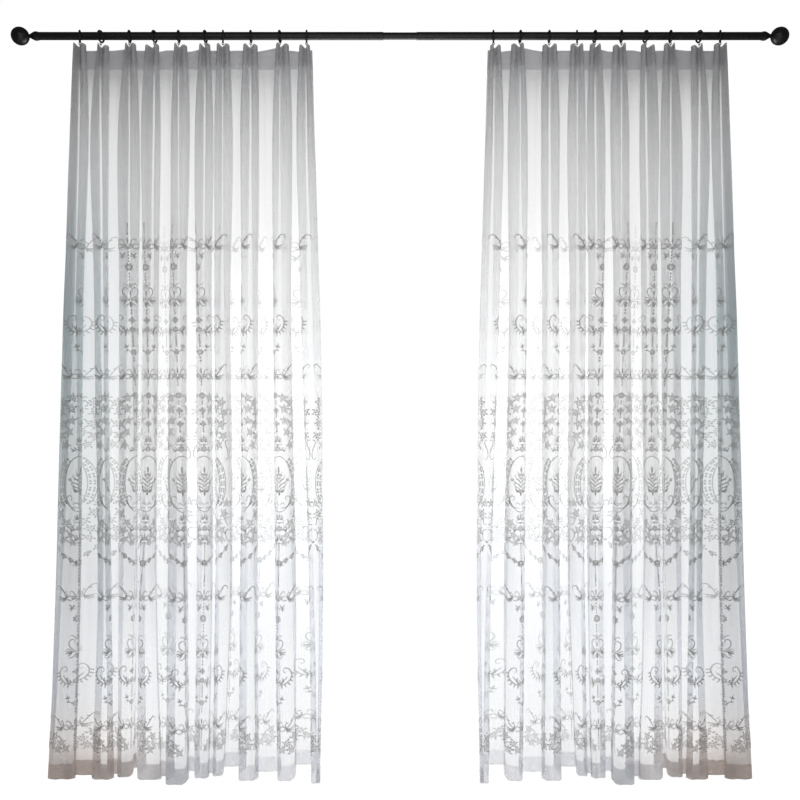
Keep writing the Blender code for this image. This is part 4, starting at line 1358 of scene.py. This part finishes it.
def pale_floor():
    """Round pale floor that shines a little, so that the foot of the curtains is lit from below."""
    recipe = Recipe("pale_floor")
    cloud = recipe.noise(recipe.node("TexCoord").outputs["Object"], 3.0)
    seen = recipe.node("LightPath").outputs["Is Camera Ray"]
    colour = recipe.mix(cloud, (0.90, 0.90, 0.90, 1.0), (0.93, 0.93, 0.93, 1.0))
    matt = recipe.node("BsdfDiffuse", Color=colour)
    shine = recipe.node("Emission", Strength=recipe.spread(seen, 0.0, 1.0, FLOOR_GLOW, ROOM_WHITE))
    both = recipe.node("AddShader")
    recipe.join(both, matt, shine)
    white = recipe.node("MixShader", Fac=seen)
    recipe.join(white, both, shine)
    turn = np.arange(96) * 2 * math.pi / 96
    points = np.stack([3.2 * np.cos(turn), 1.6 * np.sin(turn) - 0.6, np.full(96, FLOOR_Z)], axis=1)
    make_object("floor", points, [list(range(96))], recipe.finish(white.outputs[0]))


def dress_rod(paint):
    """Finer tubes, collars and finials over the same sizes as the frame's."""
    bore_gap = OUTER_TUBE_DIAMETER - INNER_TUBE_DIAMETER - 2 * SEAT_GAP
    inner = tube_profile(-INNER_TUBE_HALF_LENGTH, INNER_TUBE_HALF_LENGTH, INNER_TUBE_DIAMETER, TUBE_WALL)
    outer = tube_profile(OUTER_TUBE_STARTS, ROD_HALF_LENGTH, OUTER_TUBE_DIAMETER, bore_gap / 2)
    settle(make_turned("rod_middle", inner, 1, paint, hollow=True), "rod_black", "rod_inner_tube")
    shapes = (
        ("rod_tube_", outer, True, "rod_outer_tube_"),
        ("end_collar_", collar_profile(ROD_HALF_LENGTH + SEAT_GAP), False, "collar_"),
        ("ball_end_", finial_profile(), False, "finial_"),
    )
    for word, side in SIDES:
        for name, profile, hollow, node in shapes:
            settle(make_turned(name + word, profile, -side, paint, hollow), "rod_black", node + word)


def dress_rings(paint, zinc):
    """Finer rings and hooks, one of each for every pleat."""
    ring, hook = ring_shape(), hook_shape()
    for word, side in SIDES:
        for number, (fold, degrees) in enumerate(zip(FOLDS, RING_TURNS), start=1):
            place = side * fold.ring * MM
            tag = f"{word}_{number:02d}"
            hoop = make_wire_piece("rod_ring_" + tag, ring, place, math.radians(side * degrees), paint)
            settle(hoop, "ring_black", "ring_" + tag)
            pin = make_wire_piece("pin_hook_" + tag, hook, place, 0.0, zinc)
            settle(pin, "hook_steel", "hook_" + tag)


def settle(piece, slot, *nodes):
    """Rides the piece on the one body and puts it in place of the frame's nodes. The slot is not used."""
    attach(piece, "root")
    if nodes:
        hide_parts(*nodes)


def main():
    """Sets up the camera, the light and the floor, then makes every piece and puts it in place of the frame's
    nodes.
    """
    camera()
    white_room()
    soft_lights()
    pale_floor()
    scene = bpy.context.scene
    scene.view_settings.view_transform = "Standard"
    scene.cycles.transparent_max_bounces = 32
    scene.cycles.max_bounces = 6
    scene.cycles.diffuse_bounces = 3
    scene.cycles.transmission_bounces = 3
    scene.cycles.glossy_bounces = 2
    scene.cycles.denoising_input_passes = "RGB_ALBEDO"
    cloth = Cloth()
    panels = panel(cloth, voile())
    tapes = heading_tape(cloth, tape_weave())
    silk = silk_thread()
    ribbons = drawn_repeat()
    above = [ribbon for ribbon in ribbons if ribbon[0][:, 1].mean() < LOWER_DESIGN_AT]
    below = [ribbon for ribbon in ribbons if ribbon[0][:, 1].mean() >= LOWER_DESIGN_AT]
    motifs_above = embroidery(cloth, silk, "embroidery_upper", above)
    motifs_below = embroidery(cloth, silk, "embroidery_lower", below)
    seams = stitches(cloth, sewing_thread())
    dress_rod(black_metal("satin_black_rod", 0.25))
    dress_rings(black_metal("satin_black_ring", 0.5), zinc_steel())
    for word, _ in SIDES:
        settle(panels[word], "voile", "panel_" + word)
        settle(tapes[word], "heading_tape", "heading_tape_" + word)
        settle(motifs_above[word], "voile")
        settle(motifs_below[word], "voile")
        settle(seams[word], "heading_tape")


main()
